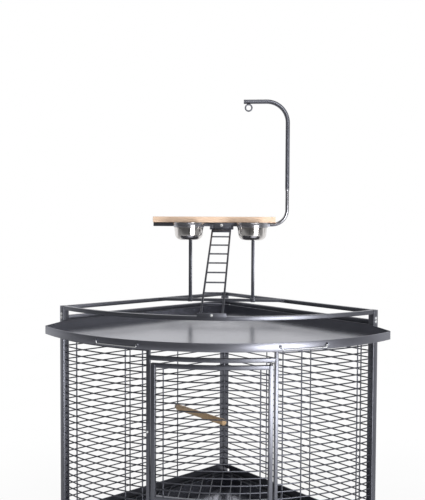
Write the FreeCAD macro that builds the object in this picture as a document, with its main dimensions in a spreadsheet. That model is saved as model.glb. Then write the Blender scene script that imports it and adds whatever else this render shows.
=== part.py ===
import FreeCAD, Part
import os
import re

import Sketcher

# Quarter-round corner cage: X right, Y back, Z up, floor at Z = 0, curved front towards -Y.
# Driving dimensions in millimetres and degrees.
SIZES = (
    # Cage frame
    ("side_length", 840),
    ("guard_height", 1180),
    ("post", 25),
    ("post_wall", 1.5),
    ("post_cap", 2),
    ("rail", 15),
    ("tube_wall", 1.2),
    ("rail_setback", 2),
    ("side_rail_drop", 37),
    ("weld_gap", 0.05),
    # Bar panels
    ("wire", 3.5),
    ("wire_gap", 0.15),
    ("pitch", 25.4),
    ("panel_drop", 787.4),
    ("wall_upright_first", 40),
    ("wall_upright_last", 62),
    ("wall_upright_count", 4),
    ("panel_upright_inner", 17.1),
    ("panel_upright_mid", 21.9),
    ("panel_upright_outer", 38.5),
    ("roof_wire_step", 42),
    ("roof_tie_step", 170),
    # Door
    ("header_drop", 143.5),
    ("door_half_angle", 15.4),
    ("door_post", 12),
    ("door_gap", 5.5),
    ("door_clear", 10),
    ("door_height", 480),
    ("stile", 15),
    ("door_upright_angle", 11.7),
    ("pivot_radius", 3),
    ("pivot_fit", 0.05),
    ("pivot_reach", 6),
    ("pivot_plug", 10),
    ("button_length", 44),
    ("button_width", 10),
    ("button_thick", 3),
    ("button_radius", 2.5),
    # Top tray
    ("tray_side", 885),
    ("tray_radius", 787),
    ("tray_inset", 32),
    ("tray_depth", 30.5),
    ("tray_sheet", 1.5),
    ("slide_gap", 0.4),
    ("lip_drop", 14.5),
    ("lip_height", 29),
    ("tip_taper", 70),
    ("pull_inner_angle", 17),
    ("pull_outer_angle", 29.2),
    ("pull_drop", 13),
    ("pull_hang", 9),
    ("pull_radius", 1.5),
    ("pull_fit", 0.08),
    ("pull_tail", 2),
    ("pull_standoff", 7),
    ("lug", 5),
    ("runner_sheet", 2),
    ("runner_leg", 38),
    ("runner_upstand", 36),
    # Lower part
    ("grate_drop", 13),
    ("grate_bar", 8),
    ("grate_wire_step", 42),
    ("slot_height", 60),
    ("bottom_tray_depth", 38),
    ("shelf_height", 150),
    ("shelf_edge", 20),
    ("shelf_sheet", 1.5),
    # Casters
    ("caster_height", 80),
    ("caster_plate", 5),
    ("caster_trail", 20),
    ("wheel_radius", 25),
    ("wheel_width", 20),
    ("wheel_fit", 0.08),
    ("fork_width", 30),
    ("fork_sheet", 3),
    ("fork_top", 4),
    ("fork_nose", 14),
    ("fork_tail", 28),
    ("fork_eye", 8),
    ("swivel_gap", 0.3),
    ("king_radius", 5),
    ("king_fit", 0.06),
    ("king_reach", 10),
    ("axle_radius", 4),
    # Play stand
    ("stand_back", 283),
    ("stand_tube", 12),
    ("upright_spread", 130),
    ("beam_height", 300),
    ("beam", 16),
    ("beam_left", 285),
    ("beam_right", 200),
    ("board_left", 286),
    ("board_right", 222),
    ("board_depth", 36),
    ("board_thick", 24),
    # Bowls
    ("bowl_spread", 128),
    ("bowl_clear", 4),
    ("ring_radius", 62),
    ("ring_wall", 2),
    ("ring_height", 17.5),
    ("ring_drop", 2),
    ("arm_height", 12),
    ("bowl_sheet", 1.2),
    ("bowl_fit", 1),
    ("bowl_depth", 70),
    ("bowl_base_radius", 44),
    # Ladder
    ("ladder_width", 74),
    ("ladder_rail", 7),
    ("rung", 5),
    ("rung_count", 8),
    ("ladder_lap", 2.25),
    ("ladder_gap", 0.15),
    ("bracket_width", 98),
    ("bracket_height", 29),
    ("bracket_sheet", 3),
    ("foot_width", 100),
    ("foot_height", 15),
    ("foot_rise", 11),
    # Toy cane
    ("cane_reach", 269),
    ("cane_radius", 6),
    ("cane_bend", 61),
    ("cane_socket", 70),
    ("cane_joint", 456),
    ("cane_collar", 8),
    ("cane_sleeve", 60),
    ("sleeve_radius", 8),
    ("sleeve_fit", 0.05),
    ("sleeve_bend", 87),
    ("cane_top", 812),
    ("cane_tip", 88.5),
    ("eye_reach", 108.5),
    ("eye_radius", 16.5),
    ("eye_bore", 10),
    ("eye_thick", 6),
    # Inside perch
    ("perch_height", 700),
    ("perch_radius", 12.5),
    ("perch_length", 300),
)

doc = FreeCAD.newDocument("corner_cage")
dims = doc.addObject("Spreadsheet::Sheet", "dims")
for row, (alias, value) in enumerate(SIZES, 1):
    dims.set(f"A{row}", alias)
    dims.set(f"B{row}", str(value))
    dims.setAlias(f"B{row}", alias)
doc.recompute()

ALIASES = re.compile(r"\b(" + "|".join(alias for alias, _ in SIZES) + r")\b")
TINY = 1e-9
UP = FreeCAD.Vector(0, 0, 1)
nodes = []


def bound(formula):
    """A formula of the sheet's names, written for an expression."""
    return ALIASES.sub(r"dims.\1", formula)


def val(formula):
    """The present value of a formula of the sheet's names."""
    result = dims.evalExpression(formula)
    return float(getattr(result, "Value", result))


# Plan: half width of the cage, of the tray, and the back corner's Y so that the whole is centred
HALF = "(side_length * sqrt(0.5))"
TIP = "(tray_side * sqrt(0.5))"
SAG = f"(tray_radius - sqrt(tray_radius^2 - {TIP}^2))"
TRAY_APEX = "(tray_inset * sqrt(2))"
BACK = f"(({TRAY_APEX} + {TIP} + {SAG}) / 2)"
STAND_Y = f"({BACK} - stand_back)"

# Radii of the curved front about the back corner
OUTER = "(side_length - rail_setback)"
INNER = f"({OUTER} - rail)"
MIDDLE = f"({OUTER} - rail / 2)"
ARC_END = f"(45 deg - asin((post + weld_gap) / {INNER}))"

# Levels
SIDE_TOP = "(guard_height - side_rail_drop)"
SIDE_LOW = f"({SIDE_TOP} - rail)"
TRAY_TOP = f"({SIDE_LOW} - slide_gap)"
TRAY_LOW = f"({TRAY_TOP} - tray_depth)"
LIP_TOP = f"({TRAY_TOP} - lip_drop)"
LIP_LOW = f"({LIP_TOP} - lip_height)"
RUNNER_TOP = f"({TRAY_LOW} - slide_gap)"
ROOF_TOP = f"({RUNNER_TOP} - runner_sheet)"
HEADER_TOP = "(guard_height - header_drop)"
HEADER_LOW = f"({HEADER_TOP} - rail)"
DOOR_TOP = f"({HEADER_LOW} - door_clear)"
DOOR_LOW = f"({DOOR_TOP} - door_height)"
SILL_TOP = f"({DOOR_LOW} - door_clear)"
SILL_LOW = f"({SILL_TOP} - rail)"
BOTTOM_TOP = "(guard_height - panel_drop)"
BOTTOM_LOW = f"({BOTTOM_TOP} - rail)"
GRATE_RUNNER_TOP = f"({BOTTOM_LOW} - grate_drop)"
BASE_TOP = f"({BOTTOM_LOW} - slot_height)"
BASE_LOW = f"({BASE_TOP} - rail)"
POST_FOOT = "(caster_height + caster_plate)"
BEAM_LOW = "(guard_height + beam_height)"
BEAM_MID = f"({BEAM_LOW} + beam / 2)"
BEAM_TOP = f"({BEAM_LOW} + beam)"

# Door angles about the back corner
STILE_ANGLE = f"(door_half_angle * 1 deg - asin((door_post / 2 + door_gap + stile / 2) / {MIDDLE}))"
DOOR_RAIL_ANGLE = f"({STILE_ANGLE} - asin((stile / 2 + weld_gap) / {INNER}))"
DOOR_WIRE_ANGLE = f"({STILE_ANGLE} - asin((stile / 2 + wire_gap) / {INNER}))"
HEADER_ANGLE = f"(door_half_angle * 1 deg - asin((door_post / 2 + weld_gap) / {INNER}))"
PANEL_START = f"(door_half_angle * 1 deg + asin((door_post / 2 + wire_gap) / {INNER}))"
PANEL_END = f"(45 deg - asin((post + wire_gap) / ({MIDDLE} - wire / 2)))"

# Planes of the wall wires, from a wall's outer face inwards
WIRE_OUT = "(post / 2 - wire / 2)"
WIRE_IN = "(post / 2 + wire / 2)"
WALL_RUN = "(side_length - 2 * post)"
WALL_UPRIGHT_RUN = "(side_length - wall_upright_first - wall_upright_last)"
RAIL_INSET = "(post / 2 - rail / 2)"
RUNNER_BACK = f"({RAIL_INSET} + rail)"
RUNNER_FRONT = f"({RUNNER_BACK} + runner_leg)"

# Frames of the pieces: origin and turn about Z
LEFT_WALL = ("0", BACK, "0", "225")
RIGHT_WALL = (HALF, f"{BACK} - {HALF}", "0", "135")


def front_frame(turn="0"):
    """A frame on the back corner, turned about Z so that -Y looks along the given angle."""
    return ("0", BACK, "0", turn)


def place(obj, frame):
    """Set an object's frame and bind its position to the sheet."""
    turn = FreeCAD.Rotation(UP, val(frame[3]))
    obj.Placement = FreeCAD.Placement(FreeCAD.Vector(*(val(part) for part in frame[:3])), turn)
    for axis, formula in zip("xyz", frame[:3]):
        if formula != "0":
            obj.setExpression(f"Placement.Base.{axis}", bound(formula))


def new_body(name, frame):
    """An empty body on a frame."""
    body = doc.addObject("PartDesign::Body", name)
    body.Label = name
    place(body, frame)
    return body


def origin(body, role):
    """One of the body's own axes or planes."""
    return next(item for item in body.Origin.OriginFeatures if item.Role == role)


def new_sketch(body, plane, lift="0"):
    """A sketch on one of the body's planes, lifted along the plane's normal."""
    sketch = body.newObject("Sketcher::SketchObject", body.Name + "_sketch")
    sketch.AttachmentSupport = [(origin(body, plane + "_Plane"), "")]
    sketch.MapMode = "FlatFace"
    if lift != "0":
        sketch.setExpression("AttachmentOffset.Base.z", bound(lift))
    return sketch


def hold(sketch, kind, formula, *where):
    """Add one dimension to a sketch and bind it to the sheet."""
    index = sketch.addConstraint(Sketcher.Constraint(kind, *where, val(formula)))
    name = f"{kind}{index}"
    sketch.renameConstraint(index, name)
    sketch.setExpression(f"Constraints.{name}", bound(formula))


def pin(sketch, edge, end, point):
    """Fix one end of an edge at a bound position from the sketch's origin."""
    if all(abs(val(part)) < TINY for part in point):
        sketch.addConstraint(Sketcher.Constraint("Coincident", edge, end, -1, 1))
        return
    for kind, axis, formula in zip(("DistanceX", "DistanceY"), (-2, -1), point):
        if abs(val(formula)) < TINY:
            sketch.addConstraint(Sketcher.Constraint("PointOnObject", edge, end, axis))
        else:
            hold(sketch, kind, formula, -1, 1, edge, end)


def polygon(sketch, points):
    """Draw a closed outline with every corner bound."""
    corners = [FreeCAD.Vector(val(x), val(y), 0) for x, y in points]
    first = sketch.GeometryCount
    count = len(points)
    for index, corner in enumerate(corners):
        sketch.addGeometry(Part.LineSegment(corner, corners[(index + 1) % count]), False)
    for index, point in enumerate(points):
        after = first + (index + 1) % count
        sketch.addConstraint(Sketcher.Constraint("Coincident", first + index, 2, after, 1))
        pin(sketch, first + index, 1, point)


def rectangle(sketch, left, right, low, high):
    """Draw a rectangle with its two opposite corners bound."""
    corners = [(left, low), (right, low), (right, high), (left, high)]
    spots = [FreeCAD.Vector(val(x), val(y), 0) for x, y in corners]
    first = sketch.GeometryCount
    for index in range(4):
        sketch.addGeometry(Part.LineSegment(spots[index], spots[(index + 1) % 4]), False)
    for index in range(4):
        after = first + (index + 1) % 4
        sketch.addConstraint(Sketcher.Constraint("Coincident", first + index, 2, after, 1))
        level = "Horizontal" if index % 2 == 0 else "Vertical"
        sketch.addConstraint(Sketcher.Constraint(level, first + index))
    pin(sketch, first, 1, corners[0])
    pin(sketch, first + 2, 1, corners[2])


def circle(sketch, x, y, radius):
    """Draw a circle with its centre and radius bound."""
    middle = FreeCAD.Vector(val(x), val(y), 0)
    index = sketch.addGeometry(Part.Circle(middle, UP, val(radius)), False)
    pin(sketch, index, 3, (x, y))
    hold(sketch, "Radius", radius, index)


def sector(sketch, apex, middle, radius):
    """Draw a right-angled wedge, its apex towards the back corner, with a round front.

    The apex and the round front's middle are both given as distances in front of the origin.
    """
    run = val(apex)
    depth = val(middle)
    size = val(radius)
    # The straight sides leave the apex at 45 degrees and meet the round front
    gap = run - depth
    reach = (-gap + (2 * size ** 2 - gap ** 2) ** 0.5) / 2
    tips = [FreeCAD.Vector(side * reach, -run - reach, 0) for side in (-1, 1)]
    top = FreeCAD.Vector(0, -run, 0)
    round_front = Part.ArcOfCircle(tips[0], FreeCAD.Vector(0, -depth - size, 0), tips[1])
    first = sketch.addGeometry(Part.LineSegment(top, tips[0]), False)
    arc = sketch.addGeometry(round_front, False)
    last = sketch.addGeometry(Part.LineSegment(tips[1], top), False)
    starts_left = sketch.getPoint(arc, 1).x < 0
    left_end, right_end = (1, 2) if starts_left else (2, 1)
    sketch.addConstraint(Sketcher.Constraint("Coincident", first, 2, arc, left_end))
    sketch.addConstraint(Sketcher.Constraint("Coincident", last, 1, arc, right_end))
    sketch.addConstraint(Sketcher.Constraint("Coincident", last, 2, first, 1))
    pin(sketch, first, 1, ("0", f"-({apex})"))
    pin(sketch, arc, 3, ("0", f"-({middle})"))
    hold(sketch, "Radius", radius, arc)
    sketch.addConstraint(Sketcher.Constraint("Perpendicular", first, last))
    sketch.addConstraint(Sketcher.Constraint("Symmetric", arc, 1, arc, 2, -2))


def pad(body, sketch, length, middle=False, back=False):
    """Pad a sketch by a bound length."""
    feature = body.newObject("PartDesign::Pad", body.Name + "_pad")
    feature.Profile = sketch
    feature.setExpression("Length", bound(length))
    feature.Midplane = middle
    feature.Reversed = back
    sketch.Visibility = False
    return feature


def pocket(body, sketch, length, middle=False, ahead=False):
    """Cut a sketch into a body by a bound depth, ahead of the sketch's face or behind it."""
    feature = body.newObject("PartDesign::Pocket", body.Name + "_pocket")
    feature.Profile = sketch
    feature.setExpression("Length", bound(length))
    feature.Midplane = middle
    feature.Reversed = ahead
    sketch.Visibility = False
    return feature


def revolve(body, sketch, angle, axis="Z_Axis"):
    """Turn a sketch about one of the body's axes, half of the angle to each side."""
    feature = body.newObject("PartDesign::Revolution", body.Name + "_turn")
    feature.Profile = sketch
    feature.ReferenceAxis = (origin(body, axis), [""])
    feature.setExpression("Angle", bound(angle))
    feature.Midplane = True
    sketch.Visibility = False
    return feature


def repeat(body, feature, axis, count, length):
    """Repeat a feature along one of the body's axes over a bound length."""
    pattern = body.newObject("PartDesign::LinearPattern", body.Name + "_row")
    pattern.Originals = [feature]
    pattern.Direction = (origin(body, axis), [""])
    pattern.setExpression("Occurrences", bound(count))
    pattern.setExpression("Length", bound(length))
    body.Tip = pattern
    return pattern


def group(name, pieces):
    """One library node of several pieces."""
    compound = doc.addObject("Part::Compound", name)
    compound.Label = name
    compound.Links = pieces
    return compound


def keep(obj):
    """Hand an object in as a library node."""
    nodes.append(obj)
    return obj


def primitive(kind, name, frame, **sizes):
    """A solid primitive on a frame with every size bound."""
    obj = doc.addObject(kind, name)
    obj.Label = name
    place(obj, frame)
    for size, formula in sizes.items():
        obj.setExpression(size, bound(formula))
    return obj


def combine(kind, name, base, tool):
    """A boolean of two solids."""
    obj = doc.addObject(kind, name)
    obj.Label = name
    obj.Base = base
    obj.Tool = tool
    return obj


def wall_bar(name, frame, low):
    """A square tube along a rear wall, from post to post."""
    body = new_body(name, frame)
    sketch = new_sketch(body, "YZ", "post")
    rectangle(sketch, RAIL_INSET, f"{RAIL_INSET} + rail", low, f"{low} + rail")
    rectangle(sketch, f"{RAIL_INSET} + tube_wall", f"{RAIL_INSET} + rail - tube_wall",
              f"{low} + tube_wall", f"{low} + rail - tube_wall")
    pad(body, sketch, WALL_RUN)
    return body


def wall_bars(name, low):
    """The same tube on both rear walls as one node."""
    sides = (("_a", LEFT_WALL), ("_b", RIGHT_WALL))
    return keep(group(name, [wall_bar(name + end, frame, low) for end, frame in sides]))


def arc_bar(name, low, half_angle):
    """A curved square tube along the front."""
    body = new_body(name, front_frame())
    sketch = new_sketch(body, "YZ")
    rectangle(sketch, f"-{OUTER}", f"-{INNER}", low, f"{low} + rail")
    rectangle(sketch, f"-({OUTER} - tube_wall)", f"-({INNER} + tube_wall)",
              f"{low} + tube_wall", f"{low} + rail - tube_wall")
    revolve(body, sketch, f"2 * {half_angle}")
    return body


def upright_tube(name, frame, x, y, low, height, cap="0"):
    """A vertical tube between two plan lines each way; a cap closes its top."""
    body = new_body(name, frame)
    wall = "post_wall" if cap != "0" else "tube_wall"
    outer = new_sketch(body, "XY", low)
    rectangle(outer, *x, *y)
    pad(body, outer, height)
    inner = new_sketch(body, "XY", low)
    rectangle(inner, f"{x[0]} + {wall}", f"{x[1]} - {wall}", f"{y[0]} + {wall}", f"{y[1]} - {wall}")
    pocket(body, inner, f"{height} - {cap}", ahead=True)
    return body


def row_under(level):
    """The number of the first wire row that is clear under a level."""
    return f"(floor((guard_height - {level} + wire) / pitch) + 1)"


def row_over(level):
    """The number of the last wire row that is clear over a level."""
    return f"floor((guard_height - {level} - wire) / pitch)"


def arc_wires(name, corners, first_row, last_row):
    """Curved wires of the front, one for each row, in short straight runs between angles."""
    body = new_body(name, front_frame())
    sketch = new_sketch(body, "XY", f"guard_height - {last_row} * pitch")
    outline = [(f"({MIDDLE} + wire / 2)", corner) for corner in corners]
    outline += [(f"({MIDDLE} - wire / 2)", corner) for corner in reversed(corners)]
    polygon(sketch, [(f"{radius} * sin({angle})", f"-{radius} * cos({angle})") for radius, angle in outline])
    wire = pad(body, sketch, "wire", middle=True)
    repeat(body, wire, "Z_Axis", f"{last_row} - {first_row} + 1", f"({last_row} - {first_row}) * pitch")
    return body


def door_corners(end):
    """Angles where the wires in front of the door's uprights turn, out to an end on both sides."""
    step = "door_upright_angle * 1 deg"
    return [f"-{end}", f"-{step}", f"-{step} / 2", "0 deg", f"{step} / 2", step, end]


def front_upright(name, turn, low, high):
    """A straight wire inside the curved wires at an angle of the front."""
    body = new_body(name, front_frame(turn))
    sketch = new_sketch(body, "XY", low)
    face = f"({MIDDLE} - wire / 2 - wire_gap)"
    rectangle(sketch, "-wire / 2", "wire / 2", f"-{face}", f"-({face} - wire)")
    pad(body, sketch, f"{high} - {low}")
    return body


def rear_grille(name, frame, first_upright):
    """Level wires and uprights of a rear wall."""
    level = new_body(name + "_level", frame)
    sketch = new_sketch(level, "YZ", "post")
    first_row = row_under(SIDE_LOW)
    last_row = row_over(BOTTOM_TOP)
    low = f"(guard_height - {last_row} * pitch)"
    rectangle(sketch, WIRE_OUT, WIRE_IN, f"{low} - wire / 2", f"{low} + wire / 2")
    wire = pad(level, sketch, WALL_RUN)
    repeat(level, wire, "Z_Axis", f"{last_row} - {first_row} + 1", f"({last_row} - {first_row}) * pitch")
    upright = new_body(name + "_upright", frame)
    sketch = new_sketch(upright, "XY", BOTTOM_TOP)
    rectangle(sketch, f"{first_upright} - wire / 2", f"{first_upright} + wire / 2",
              WIRE_IN, f"{WIRE_IN} + wire")
    wire = pad(upright, sketch, f"{SIDE_LOW} - {BOTTOM_TOP}")
    repeat(upright, wire, "X_Axis", "wall_upright_count", WALL_UPRIGHT_RUN)
    return keep(group(name, [level, upright]))


def front_grille(name, side):
    """Curved wires and uprights of one front panel."""
    high = f"({RUNNER_TOP} - rail)"
    third = "(panel_upright_outer - panel_upright_mid) / 3"
    turns = ["panel_upright_inner", "panel_upright_mid", f"(panel_upright_mid + {third})",
             f"(panel_upright_outer - {third})", "panel_upright_outer"]
    corners = [PANEL_START] + [f"{turn} * 1 deg" for turn in turns] + [PANEL_END]
    corners = [f"{side} * {corner}" for corner in corners]
    pieces = [arc_wires(name + "_level", corners, row_under(high), row_over(BOTTOM_TOP))]
    for angle in ("panel_upright_inner", "panel_upright_mid", "panel_upright_outer"):
        pieces.append(front_upright(f"{name}_{angle}", f"{side} * {angle}", BOTTOM_TOP, high))
    return keep(group(name, pieces))


def runner(name, frame, top, length):
    """An angle strip on a rear wall: a flat leg inwards and an upstand against the rail."""
    body = new_body(name, frame)
    sketch = new_sketch(body, "YZ", "post")
    low = f"{top} - runner_sheet"
    polygon(sketch, [(RUNNER_BACK, low), (RUNNER_FRONT, low), (RUNNER_FRONT, top),
                     (f"{RUNNER_BACK} + runner_sheet", top),
                     (f"{RUNNER_BACK} + runner_sheet", f"{low} + runner_upstand"),
                     (RUNNER_BACK, f"{low} + runner_upstand")])
    pad(body, sketch, length)
    return body


def runner_pair(name, top):
    """The strips of both rear walls; the right one stops at the left one's leg."""
    short = f"(side_length - {RUNNER_FRONT} - post - weld_gap)"
    return [runner(name + "_a", LEFT_WALL, top, WALL_RUN), runner(name + "_b", RIGHT_WALL, top, short)]


def level_wires(name, low, step, along, reach, trim):
    """A row of straight wires trimmed by a plan prism; along X or along Y."""
    body = new_body(name, front_frame())
    half_run = f"floor({reach} / {step}) * {step}"
    count = f"2 * floor({reach} / {step}) + 1"
    sketch = new_sketch(body, "XY", low)
    if along == "Y":
        rectangle(sketch, f"-({half_run}) - wire / 2", f"-({half_run}) + wire / 2", f"-{OUTER}", "-wire")
        axis = "X_Axis"
        length = f"2 * {half_run}"
    else:
        rectangle(sketch, f"-{OUTER}", OUTER, f"-{OUTER} - wire / 2", f"-{OUTER} + wire / 2")
        axis = "Y_Axis"
        count = f"floor({OUTER} / {step})"
        length = f"({count} - 1) * {step}"
    wire = pad(body, sketch, "wire")
    repeat(body, wire, axis, count, length)
    return combine("Part::Common", name + "_trim", body, trim)


def plan_prism(name, apex, middle, radius, low, height):
    """A solid of a wedge plan."""
    body = new_body(name, front_frame())
    sketch = new_sketch(body, "XY", low)
    sector(sketch, apex, middle, radius)
    pad(body, sketch, height)
    return body


# Posts
FAR = ("side_length - post", "side_length")
NEAR = ("0", "post")
POST_HEIGHT = f"(guard_height - {POST_FOOT})"
keep(upright_tube("corner_post_left", LEFT_WALL, FAR, NEAR, POST_FOOT, POST_HEIGHT, "post_cap"))
keep(upright_tube("corner_post_back", LEFT_WALL, NEAR, NEAR, POST_FOOT, POST_HEIGHT, "post_cap"))
keep(upright_tube("corner_post_right", RIGHT_WALL, NEAR, NEAR, POST_FOOT, POST_HEIGHT, "post_cap"))
keep(upright_tube("front_leg", front_frame(), ("-post / 2", "post / 2"), (f"-{OUTER}", f"-({OUTER} - post)"),
                  POST_FOOT, f"({BASE_LOW} - {POST_FOOT})", "post_cap"))

# Rails between the posts
keep(arc_bar("guard_rail_front", "guard_height - rail", ARC_END))
wall_bars("guard_side_rails", "guard_height - rail")
wall_bars("side_rails", SIDE_LOW)
keep(arc_bar("front_top_rail", f"({RUNNER_TOP} - rail)", ARC_END))
keep(arc_bar("bottom_rail_front", BOTTOM_LOW, ARC_END))
wall_bars("bottom_side_rails", BOTTOM_LOW)
keep(arc_bar("base_rail_front", BASE_LOW, ARC_END))
wall_bars("base_side_rails", BASE_LOW)

# Angle strips under the trays and the grate
keep(group("top_runners", runner_pair("top_runner", RUNNER_TOP)))
keep(group("lower_runners",
           runner_pair("grate_runner", GRATE_RUNNER_TOP) + runner_pair("base_runner", BASE_TOP)))

# Roof of the cage under the top tray: wires front to back over a few cross ties
ROOF_APEX = f"(({RUNNER_BACK} + runner_sheet + wire) * sqrt(2))"
roof_plan = plan_prism("roof_plan", ROOF_APEX, "0", f"({INNER} - wire_gap)", f"{ROOF_TOP} - rail", "2 * rail")
ROOF_REACH = f"({INNER} * sqrt(0.5) - runner_leg)"
keep(group("roof_grille", [
    level_wires("roof_wires", f"{ROOF_TOP} - wire", "roof_wire_step", "Y", ROOF_REACH, roof_plan),
    level_wires("roof_ties", f"{ROOF_TOP} - 2 * wire", "roof_tie_step", "X", ROOF_REACH, roof_plan)]))

# Bar panels
rear_grille("grille_rear_left", LEFT_WALL, "wall_upright_first")
rear_grille("grille_rear_right", RIGHT_WALL, f"(side_length - wall_upright_first - {WALL_UPRIGHT_RUN})")
front_grille("grille_front_left", "-1")
front_grille("grille_front_right", "1")
UNDER_END = f"({HEADER_ANGLE} - asin(wire_gap / {INNER}))"
keep(group("grille_under_door", [
    arc_wires("grille_under_level", door_corners(UNDER_END), row_under(SILL_LOW), row_over(BOTTOM_TOP)),
    front_upright("grille_under_left", "-door_upright_angle", BOTTOM_TOP, SILL_LOW),
    front_upright("grille_under_right", "door_upright_angle", BOTTOM_TOP, SILL_LOW)]))

# Door opening
DOOR_POST_HEIGHT = f"({RUNNER_TOP} - rail - {BOTTOM_TOP})"
DOOR_POST_PLAN = (("-door_post / 2", "door_post / 2"), (f"-{OUTER}", f"-{INNER}"))
BUTTON_LEVEL = f"({DOOR_LOW} + door_height / 2)"
BUTTON_BACK = f"({OUTER} + slide_gap)"
left_post = upright_tube("left_post_bar", front_frame("-door_half_angle"), *DOOR_POST_PLAN,
                         BOTTOM_TOP, DOOR_POST_HEIGHT)
keep(upright_tube("door_post_right", front_frame("door_half_angle"), *DOOR_POST_PLAN,
                  BOTTOM_TOP, DOOR_POST_HEIGHT))
hole = new_body("button_hole", front_frame("-door_half_angle"))
sketch = new_sketch(hole, "XZ", BUTTON_BACK)
circle(sketch, "0", BUTTON_LEVEL, "button_radius + pivot_fit")
pad(hole, sketch, "2 * tube_wall + slide_gap", back=True)
keep(combine("Part::Cut", "door_post_left", left_post, hole))


def pivot_spot(low):
    """The hinge line of the door on the right stile, at a level."""
    return (f"{MIDDLE} * sin({STILE_ANGLE})", f"{BACK} - {MIDDLE} * cos({STILE_ANGLE})", low, "0")


def bored(name, bar, low):
    """A curved bar with a bore for a door pivot through the wall that faces the door."""
    bore = primitive("Part::Cylinder", name + "_bore", pivot_spot(low),
                     Radius="pivot_radius + pivot_fit", Height="4 * tube_wall")
    return keep(combine("Part::Cut", name, bar, bore))


bored("door_header", arc_bar("header_bar", HEADER_LOW, HEADER_ANGLE), f"{HEADER_LOW} - 2 * tube_wall")
bored("door_sill", arc_bar("sill_bar", SILL_LOW, HEADER_ANGLE), f"{SILL_TOP} - 2 * tube_wall")

# Door: two straight stiles, two curved rails, pivots on the right stile
STILE_SIDE = ("-stile / 2", "stile / 2")
door_bars = [upright_tube(f"stile_{end}", front_frame(f"{side} * {STILE_ANGLE}"), STILE_SIDE,
                          (f"-{OUTER}", f"-{INNER}"), DOOR_LOW, "door_height", "post_cap")
             for end, side in (("left", "-1"), ("right", "1"))]
door_bars += [arc_bar("door_rail_top", f"({DOOR_TOP} - rail)", DOOR_RAIL_ANGLE),
              arc_bar("door_rail_bottom", DOOR_LOW, DOOR_RAIL_ANGLE)]
keep(group("door_frame", door_bars))
DOOR_BARS_LOW = f"({DOOR_LOW} + rail)"
DOOR_BARS_TOP = f"({DOOR_TOP} - rail)"
keep(group("door_grille", [
    arc_wires("door_level", door_corners(DOOR_WIRE_ANGLE), row_under(DOOR_BARS_TOP), row_over(DOOR_BARS_LOW)),
    front_upright("door_upright_left", "-door_upright_angle", DOOR_BARS_LOW, DOOR_BARS_TOP),
    front_upright("door_upright_right", "door_upright_angle", DOOR_BARS_LOW, DOOR_BARS_TOP)]))
PIVOT_LENGTH = "(door_clear + pivot_reach)"
pivots = [primitive("Part::Cylinder", f"pivot_{end}", pivot_spot(low),
                    Radius="pivot_radius", Height=PIVOT_LENGTH)
          for end, low in (("top", DOOR_TOP), ("bottom", f"{DOOR_LOW} - {PIVOT_LENGTH}"))]
plug = new_body("pivot_plug_block", front_frame(STILE_ANGLE))
sketch = new_sketch(plug, "XY", DOOR_LOW)
PLUG_HALF = "(stile / 2 - post_wall - weld_gap)"
rectangle(sketch, f"-{PLUG_HALF}", PLUG_HALF,
          f"-({OUTER} - post_wall - weld_gap)", f"-({INNER} + post_wall + weld_gap)")
pad(plug, sketch, "pivot_plug")
keep(group("door_pivots", pivots + [plug]))

# Turn button on the left door post, upright at rest so that the door is free
button = new_body("door_button", front_frame("-door_half_angle"))
sketch = new_sketch(button, "XZ", BUTTON_BACK)
rectangle(sketch, "-button_width / 2", "button_width / 2",
          f"{BUTTON_LEVEL} - button_width / 2", f"{BUTTON_LEVEL} - button_width / 2 + button_length")
pad(button, sketch, "button_thick")
sketch = new_sketch(button, "XZ", BUTTON_BACK)
circle(sketch, "0", BUTTON_LEVEL, "button_radius")
pad(button, sketch, "slide_gap + 4 * tube_wall", back=True)
keep(button)

# Top tray: a pan with a round front, its walls cut down towards the tips, behind a taller lip
TRAY_MIDDLE = f"({TRAY_APEX} + {TIP} - sqrt(tray_radius^2 - {TIP}^2))"
tray = new_body("tray_pan", front_frame())
sketch = new_sketch(tray, "XY", TRAY_LOW)
sector(sketch, TRAY_APEX, TRAY_MIDDLE, "tray_radius")
pad(tray, sketch, "tray_depth")
sketch = new_sketch(tray, "XY", f"{TRAY_LOW} + tray_sheet")
sector(sketch, f"({TRAY_APEX} + tray_sheet * sqrt(2))", TRAY_MIDDLE, "(tray_radius - tray_sheet)")
pocket(tray, sketch, "tray_depth", ahead=True)
sketch = new_sketch(tray, "YZ")
TIP_Y = f"({TRAY_APEX} + {TIP})"
BEYOND = f"({TIP_Y} + {SAG} + post)"
ABOVE = f"({TRAY_TOP} + post)"
polygon(sketch, [(f"-({TIP_Y} - tip_taper)", TRAY_TOP), (f"-{TIP_Y}", LIP_TOP), (f"-{BEYOND}", LIP_TOP),
                 (f"-{BEYOND}", ABOVE), (f"-({TIP_Y} - tip_taper)", ABOVE)])
pocket(tray, sketch, f"4 * {TIP}", middle=True)
lip = new_body("tray_lip", front_frame())
sketch = new_sketch(lip, "XY", LIP_LOW)
sector(sketch, TRAY_APEX, TRAY_MIDDLE, "tray_radius")
pad(lip, sketch, "lip_height")
sketch = new_sketch(lip, "XY", LIP_LOW)
sector(sketch, f"({TRAY_APEX} - 2 * post)", TRAY_MIDDLE, "(tray_radius - tray_sheet)")
pocket(lip, sketch, "lip_height", ahead=True)
keep(combine("Part::Fuse", "top_tray", tray, lip))

# Wire pulls that hang on lugs in front of the lip
PULL_TURN = "(pull_inner_angle + pull_outer_angle) / 2"
LUG_X = "(tray_radius * sin((pull_outer_angle - pull_inner_angle) / 2 * 1 deg))"
LUG_BACK = f"(sqrt(tray_radius^2 - ({LUG_X} - lug / 2)^2) + weld_gap)"
PULL_AXIS = f"({LUG_BACK} + pull_standoff)"
PULL_LEVEL = f"({LIP_TOP} - pull_drop)"
LEG_OUT = f"({LUG_X} - lug / 2 - slide_gap)"


def lip_frame(side, level="0"):
    """A frame on the axis of the lip's round, turned to the middle of one pull."""
    return ("0", f"{BACK} - {TRAY_MIDDLE}", level, f"{side} * {PULL_TURN}")


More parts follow.
